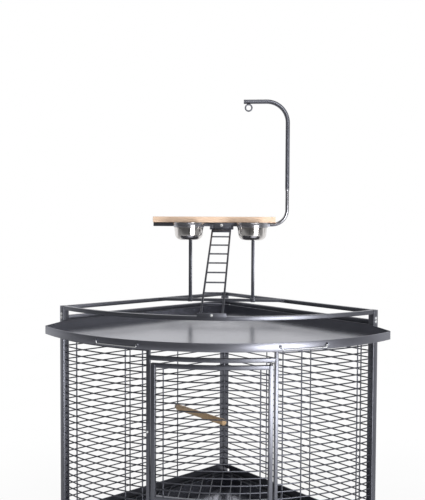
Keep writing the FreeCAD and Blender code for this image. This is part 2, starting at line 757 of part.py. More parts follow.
def pull_lug(name, side, end):
    """A small lug with a bore along the pull's hinge line."""
    body = new_body(name, lip_frame(side))
    sketch = new_sketch(body, "YZ", f"{end} * {LUG_X} - lug / 2")
    rectangle(sketch, f"-({PULL_AXIS} + 2 * pull_radius)", f"-{LUG_BACK}",
              f"{PULL_LEVEL} - lug", f"{PULL_LEVEL} + lug")
    circle(sketch, f"-{PULL_AXIS}", PULL_LEVEL, "pull_radius + pull_fit")
    pad(body, sketch, "lug")
    return body


def tray_pull(name, side):
    """A shallow wire loop with two round tails in the lugs."""
    loop = new_body(name + "_loop", lip_frame(side))
    sketch = new_sketch(loop, "XZ", PULL_AXIS)
    low = f"({PULL_LEVEL} - pull_hang)"
    outline = []
    for end in ("-1", "1"):
        spots = [(LEG_OUT, f"{PULL_LEVEL} + pull_radius"), (LEG_OUT, f"{low} - pull_radius")]
        spots = spots if end == "-1" else spots[::-1]
        outline += [(f"{end} * {x}", y) for x, y in spots]
    for end in ("1", "-1"):
        inner = f"({LEG_OUT} - 2 * pull_radius)"
        spots = [(inner, f"{PULL_LEVEL} + pull_radius"), (inner, f"{low} + pull_radius")]
        spots = spots if end == "1" else spots[::-1]
        outline += [(f"{end} * {x}", y) for x, y in spots]
    polygon(sketch, outline)
    pad(loop, sketch, "2 * pull_radius", middle=True)
    tails = new_body(name + "_tails", lip_frame(side))
    sketch = new_sketch(tails, "YZ")
    circle(sketch, f"-{PULL_AXIS}", PULL_LEVEL, "pull_radius")
    pad(tails, sketch, f"2 * ({LUG_X} + lug / 2 + pull_tail)", middle=True)
    sketch = new_sketch(tails, "YZ")
    rectangle(sketch, f"-({PULL_AXIS} + 2 * pull_radius)", f"-({PULL_AXIS} - 2 * pull_radius)",
              f"{PULL_LEVEL} - 2 * pull_radius", f"{PULL_LEVEL} + 2 * pull_radius")
    pocket(tails, sketch, f"2 * ({LEG_OUT} - pull_radius)", middle=True)
    return keep(combine("Part::Fuse", name, loop, tails))


keep(group("pull_lugs", [pull_lug(f"lug_{side}_{end}", turn, way)
                         for side, turn in (("left", "-1"), ("right", "1"))
                         for end, way in (("a", "-1"), ("b", "1"))]))
tray_pull("tray_pull_left", "-1")
tray_pull("tray_pull_right", "1")

# Bottom tray and the slide-out floor grate over it
low_tray = new_body("bottom_tray", front_frame())
LOW_TRAY = f"({BASE_TOP} + slide_gap)"
sketch = new_sketch(low_tray, "XY", LOW_TRAY)
sector(sketch, TRAY_APEX, "0", OUTER)
pad(low_tray, sketch, "bottom_tray_depth")
sketch = new_sketch(low_tray, "XY", f"{LOW_TRAY} + tray_sheet")
sector(sketch, f"({TRAY_APEX} + tray_sheet * sqrt(2))", "0", f"({OUTER} - tray_sheet)")
pocket(low_tray, sketch, "bottom_tray_depth", ahead=True)
keep(low_tray)

GRATE_LOW = f"({GRATE_RUNNER_TOP} + slide_gap)"
grate_frame = new_body("grate_frame", front_frame())
sketch = new_sketch(grate_frame, "XY", GRATE_LOW)
sector(sketch, TRAY_APEX, "0", OUTER)
sector(sketch, f"({TRAY_APEX} + grate_bar * sqrt(2))", "0", f"({OUTER} - grate_bar)")
pad(grate_frame, sketch, "grate_bar")
keep(grate_frame)
grate_plan = plan_prism("grate_plan", f"({TRAY_APEX} + (grate_bar + wire_gap) * sqrt(2))", "0",
                        f"({OUTER} - grate_bar - wire_gap)", GRATE_LOW, "grate_bar")
GRATE_REACH = f"({INNER} * sqrt(0.5) - runner_leg)"
grate_row = level_wires("grate_row", f"{GRATE_LOW} + grate_bar / 2", "grate_wire_step", "Y",
                        GRATE_REACH, grate_plan)
keep(group("grate_wires", [grate_row]))

# Lower shelf: a sheet with a folded edge between the legs
shelf = new_body("lower_shelf", front_frame())
sketch = new_sketch(shelf, "XY", "shelf_height - shelf_edge")
sector(sketch, "(post * sqrt(2))", "0", f"({OUTER} - post)")
pad(shelf, sketch, "shelf_edge")
sketch = new_sketch(shelf, "XY", "shelf_height - shelf_edge")
sector(sketch, "((post + shelf_sheet) * sqrt(2))", "0", f"({OUTER} - post - shelf_sheet)")
pocket(shelf, sketch, "shelf_edge - shelf_sheet", ahead=True)
keep(shelf)

# Casters under the four legs
CASTERS = (
    ("left", "-(side_length - post) * sqrt(0.5)", f"{BACK} - {HALF}", "45"),
    ("right", "(side_length - post) * sqrt(0.5)", f"{BACK} - {HALF}", "45"),
    ("back", "0", f"{BACK} - post * sqrt(0.5)", "45"),
    ("front", "0", f"{BACK} - {OUTER} + post / 2", "0"),
)
AXLE = ("-caster_trail", "wheel_radius")
FORK_TOP = "(caster_height - swivel_gap)"
FORK_ROOF = f"({FORK_TOP} - fork_top)"
FORK_LOW = "(wheel_radius - fork_eye)"


def caster_plate(name, x, y, turn):
    """A plate that closes a leg's foot, with a bore for the caster's king pin."""
    body = new_body(name, (x, y, "caster_height", turn))
    sketch = new_sketch(body, "XY")
    rectangle(sketch, "-post / 2", "post / 2", "-post / 2", "post / 2")
    circle(sketch, "0", "0", "king_radius + king_fit")
    pad(body, sketch, "caster_plate")
    return body


def caster_fork(name, x, y):
    """A bent fork with two tapered cheeks, a king pin and the wheel's axle."""
    body = new_body(name, (x, y, "0", "0"))
    cheek = [("fork_nose", FORK_TOP), ("-fork_tail", FORK_TOP),
             ("-caster_trail - fork_eye", FORK_LOW), ("-caster_trail + fork_eye", FORK_LOW)]
    sketch = new_sketch(body, "YZ")
    polygon(sketch, cheek)
    pad(body, sketch, "fork_width", middle=True)
    sketch = new_sketch(body, "YZ")
    rectangle(sketch, "-2 * fork_tail", "2 * fork_nose", "0", FORK_ROOF)
    pocket(body, sketch, "fork_width - 2 * fork_sheet", middle=True)
    sketch = new_sketch(body, "XY", FORK_TOP)
    circle(sketch, "0", "0", "king_radius")
    pad(body, sketch, "swivel_gap + king_reach")
    sketch = new_sketch(body, "YZ")
    circle(sketch, *AXLE, "axle_radius")
    pad(body, sketch, "fork_width - fork_sheet", middle=True)
    return keep(body)


def caster_wheel(name, x, y):
    """A wheel with a bore on the axle."""
    body = new_body(name, (x, f"{y} - caster_trail", "wheel_radius", "0"))
    sketch = new_sketch(body, "YZ")
    circle(sketch, "0", "0", "wheel_radius")
    circle(sketch, "0", "0", "axle_radius + wheel_fit")
    pad(body, sketch, "wheel_width", middle=True)
    return keep(body)


keep(group("caster_plates", [caster_plate(f"plate_{name}", x, y, turn) for name, x, y, turn in CASTERS]))
for name, x, y, _ in CASTERS:
    caster_fork(f"caster_fork_{name}", x, y)
    caster_wheel(f"caster_wheel_{name}", x, y)

# Cross bar of the guard frame, its ends cut to the rear rails
STAND = ("0", STAND_Y, "0", "0")
cross = new_body("guard_cross_bar", front_frame())
sketch = new_sketch(cross, "XY", "guard_height - stand_tube")
CROSS_CUT = f"(({RAIL_INSET} + rail + weld_gap) * sqrt(2))"
near = "(stand_back + stand_tube / 2)"
far = "(stand_back - stand_tube / 2)"
polygon(sketch, [(f"-({near} - {CROSS_CUT})", f"-{near}"), (f"{near} - {CROSS_CUT}", f"-{near}"),
                 (f"{far} - {CROSS_CUT}", f"-{far}"), (f"-({far} - {CROSS_CUT})", f"-{far}")])
pad(cross, sketch, "stand_tube")
sketch = new_sketch(cross, "YZ")
rectangle(sketch, f"-({near} - tube_wall)", f"-({far} + tube_wall)",
          "guard_height - stand_tube + tube_wall", "guard_height - tube_wall")
pocket(cross, sketch, "2 * stand_back", middle=True)
keep(cross)

# Play stand: two uprights, a socket beam and a board
STAND_SIDE = ("-stand_tube / 2", "stand_tube / 2")
keep(group("stand_uprights", [
    upright_tube(f"upright_{end}", (f"{side} * upright_spread", STAND_Y, "0", "0"), STAND_SIDE, STAND_SIDE,
                 "guard_height", "beam_height") for end, side in (("left", "-1"), ("right", "1"))]))
beam = new_body("stand_beam", STAND)
sketch = new_sketch(beam, "YZ", "-beam_left")
rectangle(sketch, "-beam / 2", "beam / 2", BEAM_LOW, BEAM_TOP)
pad(beam, sketch, "beam_left + beam_right")
sketch = new_sketch(beam, "YZ", "beam_right")
circle(sketch, "0", BEAM_MID, "cane_radius + sleeve_fit")
pocket(beam, sketch, "cane_socket + slide_gap")
keep(beam)
keep(primitive("Part::Box", "perch_board", ("-board_left", f"{STAND_Y} - board_depth / 2", BEAM_TOP, "0"),
               Length="board_left + board_right", Width="board_depth", Height="board_thick"))

# Bowls that lift out of rings in front of the uprights
BOWL_OFF = "(board_depth / 2 + bowl_clear + ring_radius)"
RING_TOP = f"({BEAM_TOP} - ring_drop)"
RING_LOW = f"({RING_TOP} - ring_height)"


def bowl_ring(name, side):
    """A ring on a short arm."""
    body = new_body(name, (f"{side} * bowl_spread", f"{STAND_Y} - {BOWL_OFF}", "0", "0"))
    sketch = new_sketch(body, "XY", RING_LOW)
    circle(sketch, "0", "0", "ring_radius")
    pad(body, sketch, "ring_height")
    sketch = new_sketch(body, "XY", RING_LOW)
    rectangle(sketch, "-stand_tube / 2", "stand_tube / 2",
              "ring_radius - 2 * ring_wall", f"{BOWL_OFF} - beam / 2 - weld_gap")
    pad(body, sketch, "arm_height")
    sketch = new_sketch(body, "XY", RING_LOW)
    circle(sketch, "0", "0", "ring_radius - ring_wall")
    pocket(body, sketch, "2 * ring_height", ahead=True)
    return keep(body)


def play_bowl(name, side):
    """A steel bowl whose rim sits on the ring."""
    body = new_body(name, (f"{side} * bowl_spread", f"{STAND_Y} - {BOWL_OFF}", "0", "0"))
    rim_low = f"({RING_TOP} + slide_gap)"
    rim_top = f"({rim_low} + bowl_sheet)"
    base = f"({rim_top} - bowl_depth)"
    side_r = "(ring_radius - ring_wall - bowl_fit)"
    sketch = new_sketch(body, "XZ")
    polygon(sketch, [("0", base), ("bowl_base_radius", base), (side_r, RING_LOW), (side_r, rim_low),
                     ("ring_radius", rim_low), ("ring_radius", rim_top), (f"{side_r} - bowl_sheet", rim_top),
                     (f"{side_r} - bowl_sheet", RING_LOW),
                     ("bowl_base_radius - bowl_sheet", f"{base} + bowl_sheet"),
                     ("0", f"{base} + bowl_sheet")])
    revolve(body, sketch, "360")
    return keep(body)


for name, side in (("left", "-1"), ("right", "1")):
    bowl_ring(f"bowl_ring_{name}", side)
    play_bowl(f"play_bowl_{name}", side)

# Ladder from the front guard rail up to a bracket on the beam
BRACKET_FACE = f"({STAND_Y} - beam / 2 - bracket_sheet)"
LADDER_RISE = "(beam_height + beam - bracket_height + ladder_lap)"
LEAN = f"atan({LADDER_RISE} / ({BRACKET_FACE} - {BACK} + {OUTER}))"
FOOT_Y = f"({BACK} - {OUTER} + ladder_gap + ladder_rail / 2 * sin({LEAN}))"
FOOT_Z = f"(guard_height + ladder_gap + ladder_rail / 2 * cos({LEAN}))"
LADDER_LENGTH = f"(({BRACKET_FACE} - ladder_gap - ladder_rail / 2 * sin({LEAN}) - {FOOT_Y}) / cos({LEAN}))"
ladder = new_body("ladder", ("0", FOOT_Y, FOOT_Z, "0"))
ladder.Placement.Rotation = FreeCAD.Rotation(FreeCAD.Vector(1, 0, 0), val(LEAN))
ladder.setExpression("Placement.Rotation.Angle", bound(LEAN))
for side in ("-1", "1"):
    sketch = new_sketch(ladder, "XY")
    middle = f"{side} * ladder_width / 2"
    rectangle(sketch, f"{middle} - ladder_rail / 2", f"{middle} + ladder_rail / 2", "0", LADDER_LENGTH)
    pad(ladder, sketch, "ladder_rail", middle=True)
sketch = new_sketch(ladder, "YZ")
FIRST_RUNG = f"{LADDER_LENGTH} / (rung_count + 1)"
rectangle(sketch, f"{FIRST_RUNG} - rung / 2", f"{FIRST_RUNG} + rung / 2", "-rung / 2", "rung / 2")
rung = pad(ladder, sketch, "ladder_width", middle=True)
repeat(ladder, rung, "Y_Axis", "rung_count", f"{LADDER_LENGTH} * (rung_count - 1) / (rung_count + 1)")
keep(ladder)
keep(primitive("Part::Box", "ladder_bracket",
               ("-bracket_width / 2", BRACKET_FACE, f"{BEAM_TOP} - bracket_height", "0"),
               Length="bracket_width", Width="bracket_sheet", Height="bracket_height"))
keep(primitive("Part::Box", "ladder_foot",
               ("-foot_width / 2", f"{BACK} - {OUTER} - bracket_sheet - weld_gap",
                "guard_height + foot_rise - foot_height", "0"),
               Length="foot_width", Width="bracket_sheet", Height="foot_height"))

# Toy cane: a bent rod in the beam's socket and a swivelling bent tube on it
TUBE_TOP = "(guard_height + cane_top)"
SWIVEL = "(guard_height + cane_joint)"
ALONG_X = FreeCAD.Rotation(FreeCAD.Vector(0, 1, 0), 90)
BEND_OUT = FreeCAD.Rotation(FreeCAD.Vector(0, 0, -1), FreeCAD.Vector(1, 0, 0), FreeCAD.Vector(0, -1, 0))
BEND_OVER = FreeCAD.Rotation(FreeCAD.Vector(1, 0, 0), FreeCAD.Vector(0, 0, 1), FreeCAD.Vector(0, -1, 0))


def bent_tube(name, radius, bend, stem, leg, turn):
    """A round bar with one bend: an upright stem, a quarter bend and a level leg along X.

    The stem is its low end and length, the leg its left end, length and level.
    """
    upright = primitive("Part::Cylinder", name + "_stem", ("cane_reach", STAND_Y, stem[0], "0"),
                        Radius=radius, Height=stem[1])
    level = primitive("Part::Cylinder", name + "_leg", (leg[0], STAND_Y, leg[2], "0"),
                      Radius=radius, Height=leg[1])
    level.Placement.Rotation = ALONG_X
    rise = f"{leg[2]} + {bend}" if turn is BEND_OUT else f"{leg[2]} - {bend}"
    corner = primitive("Part::Torus", name + "_bend", (f"cane_reach - {bend}", STAND_Y, rise, "0"),
                       Radius1=bend, Radius2=radius)
    corner.Angle3 = 90
    corner.Placement.Rotation = turn
    return [upright, corner, level]


def joined(name, pieces):
    """A fuse of several solids."""
    obj = doc.addObject("Part::MultiFuse", name)
    obj.Label = name
    obj.Shapes = pieces
    obj.Refine = True
    return obj


ROD_STEM = (f"({BEAM_MID} + cane_bend)", f"{SWIVEL} + cane_sleeve - {BEAM_MID} - cane_bend")
ROD_LEG = ("beam_right - cane_socket", "cane_reach - cane_bend - beam_right + cane_socket", BEAM_MID)
lower = bent_tube("cane_rod", "cane_radius", "cane_bend", ROD_STEM, ROD_LEG, BEND_OUT)
lower.append(primitive("Part::Cylinder", "cane_collar_ring",
                       ("cane_reach", STAND_Y, f"{SWIVEL} - swivel_gap - cane_collar", "0"),
                       Radius="sleeve_radius", Height="cane_collar"))
keep(joined("cane_lower", lower))
STEM = (SWIVEL, f"{TUBE_TOP} - sleeve_bend - {SWIVEL}")
LEG = ("cane_tip", "cane_reach - sleeve_bend - cane_tip", TUBE_TOP)
outer = joined("cane_outer", bent_tube("cane_skin", "sleeve_radius", "sleeve_bend", STEM, LEG, BEND_OVER))
inner = primitive("Part::Cylinder", "cane_hollow", ("cane_reach", STAND_Y, STEM[0], "0"),
                  Radius="cane_radius + sleeve_fit", Height=STEM[1])
keep(combine("Part::Cut", "cane_upper", outer, inner))
eye = new_body("toy_eye", ("eye_reach", STAND_Y, f"{TUBE_TOP} - sleeve_radius - eye_radius - weld_gap", "0"))
sketch = new_sketch(eye, "XZ")
circle(sketch, "0", "0", "eye_radius")
circle(sketch, "0", "0", "eye_bore")
pad(eye, sketch, "eye_thick", middle=True)
keep(eye)

# Bolt-on perch inside, its end on an upright of the left rear wall
perch = new_body("perch", LEFT_WALL)
sketch = new_sketch(perch, "XZ", f"-({WIRE_IN} + wire + weld_gap)")
circle(sketch, f"wall_upright_first + {WALL_UPRIGHT_RUN} / (wall_upright_count - 1)", "perch_height",
       "perch_radius")
pad(perch, sketch, "perch_length", back=True)
keep(perch)

# Build, check and write every node
doc.recompute()
for obj in doc.Objects:
    if any(state in obj.State for state in ("Invalid", "Error")):
        raise RuntimeError(f"{obj.Name} did not build: {obj.State}")
os.makedirs("parts", exist_ok=True)
for node in nodes:
    if node.Shape.isNull() or not node.Shape.isValid():
        raise RuntimeError(f"{node.Label} has no valid shape")
    node.Shape.exportStep(f"parts/{node.Label}.step")
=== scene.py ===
import logging
import math
from dataclasses import dataclass
from enum import Enum
from typing import Any, Iterable, Optional, Sequence, Union

import bmesh
import bpy
from mathutils import Matrix, Vector


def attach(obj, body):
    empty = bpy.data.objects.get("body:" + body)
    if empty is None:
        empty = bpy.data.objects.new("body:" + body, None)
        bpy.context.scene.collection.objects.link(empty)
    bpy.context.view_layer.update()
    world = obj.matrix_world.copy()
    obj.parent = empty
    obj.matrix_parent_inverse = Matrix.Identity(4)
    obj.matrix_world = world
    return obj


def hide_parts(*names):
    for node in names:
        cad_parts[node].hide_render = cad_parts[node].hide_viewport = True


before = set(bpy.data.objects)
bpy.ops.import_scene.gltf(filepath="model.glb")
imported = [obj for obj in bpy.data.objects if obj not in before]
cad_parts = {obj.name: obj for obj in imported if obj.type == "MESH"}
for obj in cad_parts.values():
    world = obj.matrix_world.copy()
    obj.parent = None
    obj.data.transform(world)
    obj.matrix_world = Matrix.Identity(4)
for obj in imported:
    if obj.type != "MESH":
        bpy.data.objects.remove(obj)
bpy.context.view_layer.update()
log = logging.getLogger("corner_cage")

MM = 0.001
AXIS_X = Vector((1.0, 0.0, 0.0))
AXIS_Y = Vector((0.0, 1.0, 0.0))
AXIS_Z = Vector((0.0, 0.0, 1.0))
CAGE = "cage"
Pair = tuple[float, float]
Colour = tuple[float, float, float]
Point = Sequence[float]


class Slot(Enum):
    """Material slots of the record."""

    FRAME = "frame_coat"
    TRAY = "tray_coat"
    BOWL = "bowl_steel"
    ZINC = "zinc"
    PINE = "pine"
    DOWEL = "dowel"
    WHEEL = "wheel"


class Side(Enum):
    """Left or right of the cage, seen from the front."""

    LEFT = -1
    RIGHT = 1

    @property
    def word(self) -> str:
        """The side's name in node names."""
        return self.name.lower()


class Crease(Enum):
    """The angle in degrees from which an edge stays sharp."""

    FOLDED = 35.0
    ROUND = 60.0


# Shader expressions


class Field:
    """A shader value that takes part in Python expressions."""

    def __init__(self, graph: "Graph", socket: Optional[bpy.types.NodeSocket]) -> None:
        """Wrap one output socket of a graph."""
        self.graph = graph
        self.socket = socket

    def _math(self, operation: str, first: "Value", second: "Value") -> "Field":
        """Add one Math node and return its result."""
        return self.graph.node("ShaderNodeMath", {"operation": operation}, {0: first, 1: second})

    def __add__(self, other: "Value") -> "Field":
        """Sum."""
        return self._math("ADD", self, other)

    def __radd__(self, other: "Value") -> "Field":
        """Sum with a number in front."""
        return self._math("ADD", other, self)

    def __sub__(self, other: "Value") -> "Field":
        """Difference."""
        return self._math("SUBTRACT", self, other)

    def __rsub__(self, other: "Value") -> "Field":
        """Difference from a number."""
        return self._math("SUBTRACT", other, self)

    def __mul__(self, other: "Value") -> "Field":
        """Product."""
        return self._math("MULTIPLY", self, other)

    def __rmul__(self, other: "Value") -> "Field":
        """Product with a number in front."""
        return self._math("MULTIPLY", other, self)


Value = Union[Field, float]
Paint = Union[Field, Colour]


class Graph:
    """A node tree that a finish writes into."""

    def __init__(self, tree: bpy.types.NodeTree) -> None:
        """Start from an emptied tree."""
        self.tree = tree
        tree.nodes.clear()

    def node(self, kind: str, settings: Optional[dict] = None, inputs: Optional[dict] = None,
             output: Union[int, str] = 0) -> Field:
        """Add any node.

        Args:
            kind: The node's type.
            settings: Its properties, which are set first.
            inputs: Values or fields for its sockets, by name or index.
            output: The output socket that is returned.

        Returns:
            The chosen output as a field.
        """
        made = self.tree.nodes.new(kind)
        for key, value in (settings or {}).items():
            setattr(made, key, value)
        for key, value in (inputs or {}).items():
            if isinstance(value, Field):
                self.tree.links.new(value.socket, made.inputs[key])
            else:
                made.inputs[key].default_value = value
        return Field(self, made.outputs[output] if made.outputs else None)

    def place(self, stretch: Point = (1.0, 1.0, 1.0)) -> Field:
        """Object coordinates in metres, stretched for a pattern."""
        point = self.node("ShaderNodeTexCoord", output="Object")
        return self.node("ShaderNodeVectorMath", {"operation": "MULTIPLY"},
                         {0: point, 1: tuple(stretch)})

    def axis(self, vector: Field, index: int) -> Field:
        """One coordinate of a vector."""
        return self.node("ShaderNodeSeparateXYZ", None, {0: vector}, index)

    def noise(self, place: Field, scale: float, detail: float = 2.0, rough: float = 0.5) -> Field:
        """Noise of a scale at a place, about 0.5."""
        return self.node("ShaderNodeTexNoise", None, {"Vector": place, "Scale": scale,
                                                      "Detail": detail, "Roughness": rough})

    def step(self, value: Field, low: float, high: float) -> Field:
        """A smooth step from 0 at low to 1 at high."""
        return self.node("ShaderNodeMapRange", {"interpolation_type": "SMOOTHSTEP"},
                         {"Value": value, "From Min": low, "From Max": high})

    def mix(self, factor: Field, first: Paint, second: Paint) -> Field:
        """Mix two colours."""
        pair = [(*c, 1.0) if isinstance(c, tuple) else c for c in (first, second)]
        return self.node("ShaderNodeMix", {"data_type": "RGBA"},
                         {0: factor, 6: pair[0], 7: pair[1]}, 2)

    def bump(self, height: Field, depth: float) -> Field:
        """A normal from a height of a depth in metres."""
        return self.node("ShaderNodeBump", None, {"Height": height, "Distance": depth})

    def surface(self, inputs: dict[str, Any]) -> None:
        """Finish the tree with one principled surface."""
        shader = self.node("ShaderNodeBsdfPrincipled", None, inputs)
        self.node("ShaderNodeOutputMaterial", None, {"Surface": shader})


# Finishes


def shade(colour: Colour, factor: float) -> Colour:
    """A colour made lighter or darker."""
    return (colour[0] * factor, colour[1] * factor, colour[2] * factor)


@dataclass(frozen=True)
class Finish:
    """A surface finish: one material for one slot of the record."""

    name: str
    slot: Optional[Slot]

    def material(self) -> bpy.types.Material:
        """Find the finish's material, or make it at its first use.

        Returns:
            The material.
        """
        found = bpy.data.materials.get(self.name)
        if found is None:
            found = bpy.data.materials.new(self.name)
            found.use_nodes = True
            self.paint(Graph(found.node_tree))
        return found

    def paint(self, graph: Graph) -> None:
        """Write the finish's nodes."""
        raise NotImplementedError


@dataclass(frozen=True)
class PowderCoat(Finish):
    """Baked powder paint on steel: fine grain, faint clouding, small rubbed spots."""

    tint: Colour = (0.150, 0.154, 0.178)
    rubbed: Colour = (0.26, 0.26, 0.28)
    gloss: float = 0.36
    metal: float = 0.93
    cloud: float = 7.0
    rub: float = 38.0
    grain: float = 1500.0
    grain_depth: float = 0.000009
    flecks: float = 0.22
    wave: float = 3.2
    wave_depth: float = 0.0
    sag: float = 0.0

    def paint(self, graph: Graph) -> None:
        """Write the coat's nodes; a sheet also gets a slow wave and a sag to the front.

        Args:
            graph: The material's nodes.
        """
        place = graph.place()
        cloud = graph.noise(place, self.cloud, 3.0)
        grain = graph.noise(place, self.grain)
        rub = graph.step(graph.noise(place, self.rub, 6.0, 0.62), 0.70, 0.78)
        fleck = graph.step(graph.noise(place, self.grain * 0.6, 0.0), 0.62, 0.74)
        base = graph.mix(cloud, shade(self.tint, 0.86), shade(self.tint, 1.14))
        base = graph.mix(fleck * self.flecks, base, shade(self.tint, 1.7))
        base = graph.mix(rub * 0.5, base, self.rubbed)
        rough = self.gloss + (cloud - 0.5) * 0.10 + (grain - 0.5) * 0.05 + rub * 0.08
        height, depth = grain, self.grain_depth
        if self.wave_depth:
            depth = self.wave_depth
            slope = graph.axis(place, 1) * (self.sag / depth)
            height = slope + graph.noise(place, self.wave, 1.0) + grain * (self.grain_depth / depth)
        graph.surface({"Base Color": base, "Roughness": rough, "Metallic": self.metal,
                       "Normal": graph.bump(height, depth)})


@dataclass(frozen=True)
class SpunSteel(Finish):
    """Polished sheet steel: fine turning lines round an upright axis, painted dark reflection
    streaks.
    """

    tint: Colour = (0.66, 0.635, 0.62)
    gloss: float = 0.15
    lines: float = 900.0
    line_depth: float = 0.000005
    smears: float = 22.0
    streaks: float = 55.0

    def paint(self, graph: Graph) -> None:
        """Write the steel's nodes.

        Args:
            graph: The material's nodes.
        """
        turned = graph.noise(graph.place((0.03, 0.03, 1.0)), self.lines)
        smear = graph.noise(graph.place(), self.smears, 4.0)
        # Painted reflection: dark upright streaks in the colour stand in for dark things mirrored
        # in the steel.
        painted_reflection = graph.noise(graph.place((1.0, 1.0, 0.12)), self.streaks)
        base = graph.mix(smear, shade(self.tint, 0.9), shade(self.tint, 1.06))
        base = graph.mix(graph.step(painted_reflection, 0.5, 0.62) * 0.6, base, shade(self.tint, 0.42))
        rough = self.gloss + (smear - 0.5) * 0.06 + (turned - 0.5) * 0.04
        graph.surface({"Base Color": base, "Roughness": rough, "Metallic": 1.0,
                       "Normal": graph.bump(turned, self.line_depth)})


@dataclass(frozen=True)
class ZincPlate(Finish):
    """Zinc on small hardware: spangled and slightly dull."""

    tint: Colour = (0.78, 0.79, 0.80)
    spangles: float = 420.0
    spangle_depth: float = 0.00003
    blotches: float = 60.0

    def paint(self, graph: Graph) -> None:
        """Write the plating's nodes.

        Args:
            graph: The material's nodes.
        """
        place = graph.place()
        spangle = graph.node("ShaderNodeTexVoronoi", None,
                             {"Vector": place, "Scale": self.spangles})
        dull = graph.noise(place, self.blotches, 4.0)
        base = graph.mix(spangle, shade(self.tint, 0.8), shade(self.tint, 1.1))
        graph.surface({"Base Color": base, "Roughness": 0.36 + dull * 0.2, "Metallic": 1.0,
                       "Normal": graph.bump(spangle, self.spangle_depth)})


@dataclass(frozen=True)
class Timber(Finish):
    """Planed wood: long growth lines, fine fibres, a few darker streaks."""

    pale: Colour = (0.97, 0.72, 0.54)
    dark: Colour = (0.66, 0.41, 0.24)
    along: Point = (1.0, 14.0, 14.0)
    scale: float = 9.0
    gloss: float = 0.5
    fibre_depth: float = 0.00012

    def paint(self, graph: Graph) -> None:
        """Write the wood's nodes.

        Args:
            graph: The material's nodes.
        """
        grown = graph.place(self.along)
        fine = graph.place([stretch * 6.0 for stretch in self.along])
        bend = graph.noise(grown, self.scale * 0.4)
        fibre = graph.noise(fine, self.scale * 5.0, 3.0)
        bands = graph.node(
            "ShaderNodeTexWave", {"wave_type": "BANDS", "bands_direction": "DIAGONAL"},
            {"Vector": grown, "Scale": self.scale, "Distortion": 7.0, "Detail": 3.0,
             "Detail Scale": 1.2}, 1)
        late = graph.step(bands, 0.45, 0.95) * 0.45 + graph.step(bend, 0.5, 0.75) * 0.25
        base = graph.mix(late, self.pale, self.dark)
        base = graph.mix(graph.step(fibre, 0.55, 0.8) * 0.3, base, shade(self.dark, 0.9))
        graph.surface({"Base Color": base, "Roughness": self.gloss + (fibre - 0.5) * 0.2,
                       "Normal": graph.bump(fibre + bands * 0.4, self.fibre_depth)})


@dataclass(frozen=True)
class Rubber(Finish):
    """Caster rubber with dust and fine scuffs round the tread."""

    tint: Colour = (0.045, 0.045, 0.048)
    dust: Colour = (0.20, 0.19, 0.18)
    scuffs: float = 120.0
    grain: float = 2200.0
    grain_depth: float = 0.00005

    def paint(self, graph: Graph) -> None:
        """Write the rubber's nodes.

        Args:
            graph: The material's nodes.
        """
        place = graph.place()
        scuff = graph.step(graph.noise(place, self.scuffs, 6.0, 0.65), 0.52, 0.72)
        base = graph.mix(scuff * 0.55, self.tint, self.dust)
        grain = graph.noise(place, self.grain, 1.0)
        graph.surface({"Base Color": base, "Roughness": 0.62 + scuff * 0.2,
                       "Normal": graph.bump(grain, self.grain_depth)})


@dataclass(frozen=True)
class StudioFloor(Finish):
    """A plain pale floor with soft contact shade; it lights the cage from behind, not in front."""

    seen: float = 0.95
    near: Colour = (0.78, 0.78, 0.78)
    far: Colour = (0.20, 0.20, 0.20)
    shade_reach: float = 0.35

    def paint(self, graph: Graph) -> None:
        """Write the floor's nodes: what lights the cage, and what the camera sees.

        Args:
            graph: The material's nodes.
        """
        place = graph.place()
        depth = graph.axis(place, 1)
        behind = graph.step(depth, 0.3, 1.3)
        base = graph.mix(graph.step(depth, -4.5, -2.0), self.far, self.near)
        base = graph.mix(behind, base, (0.02, 0.02, 0.02))
        glow = graph.mix(behind, (0.0, 0.0, 0.0), (1.0, 1.0, 1.0))
        lit = graph.node("ShaderNodeBsdfPrincipled", None,
                         {"Base Color": base, "Roughness": 0.85,
                          "Emission Color": glow, "Emission Strength": 1.0})
        spread = graph.node("ShaderNodeVectorMath", {"operation": "LENGTH"}, {0: place}, 1)
        open_air = graph.node("ShaderNodeAmbientOcclusion", {"samples": 8},
                              {"Distance": self.shade_reach}, 1)
        mottle = (graph.noise(place, 2.0, 4.0) - 0.5) * 0.02
        level = graph.step(spread, 0.8, 2.6) * (1.0 - self.seen) + self.seen
        pale = (open_air * 0.4 + 0.6) * level + mottle
        plain = graph.node("ShaderNodeEmission", None, {"Color": pale, "Strength": 1.0})
        view = graph.node("ShaderNodeLightPath", output="Is Camera Ray")
        both = graph.node("ShaderNodeMixShader", None, {0: view, 1: lit, 2: plain})
        graph.node("ShaderNodeOutputMaterial", None, {"Surface": both})


FRAME_COAT = PowderCoat("powder_coat_frame", Slot.FRAME)
WIRE_COAT = PowderCoat("powder_coat_wire", Slot.FRAME, tint=(0.112, 0.116, 0.136), gloss=0.42)
BRIGHT_COAT = PowderCoat("powder_coat_bright", Slot.FRAME, tint=(0.30, 0.30, 0.325), gloss=0.24)
TRAY_COAT = PowderCoat("powder_coat_tray", Slot.TRAY, tint=(0.265, 0.270, 0.308), gloss=0.21,
                       grain_depth=0.000006, wave_depth=0.0002, sag=0.042)
LIP_COAT = PowderCoat("powder_coat_lip", Slot.TRAY, tint=(0.190, 0.194, 0.224), gloss=0.33,
                      wave_depth=0.0002)
BOWL_STEEL = SpunSteel("spun_bowl_steel", Slot.BOWL)
ZINC = ZincPlate("zinc_plate", Slot.ZINC)
DULL_ZINC = ZincPlate("zinc_plate_dull", Slot.ZINC, tint=(0.22, 0.22, 0.23))
PINE = Timber("planed_pine", Slot.PINE)
DOWEL = Timber("turned_dowel", Slot.DOWEL, pale=(0.72, 0.50, 0.29), dark=(0.42, 0.25, 0.12),
               along=(5.0, 5.0, 14.0))
RUBBER = Rubber("caster_rubber", Slot.WHEEL)
FLOOR = StudioFloor("studio_floor", None)


# Mesh building, in millimetres of the cage's frame


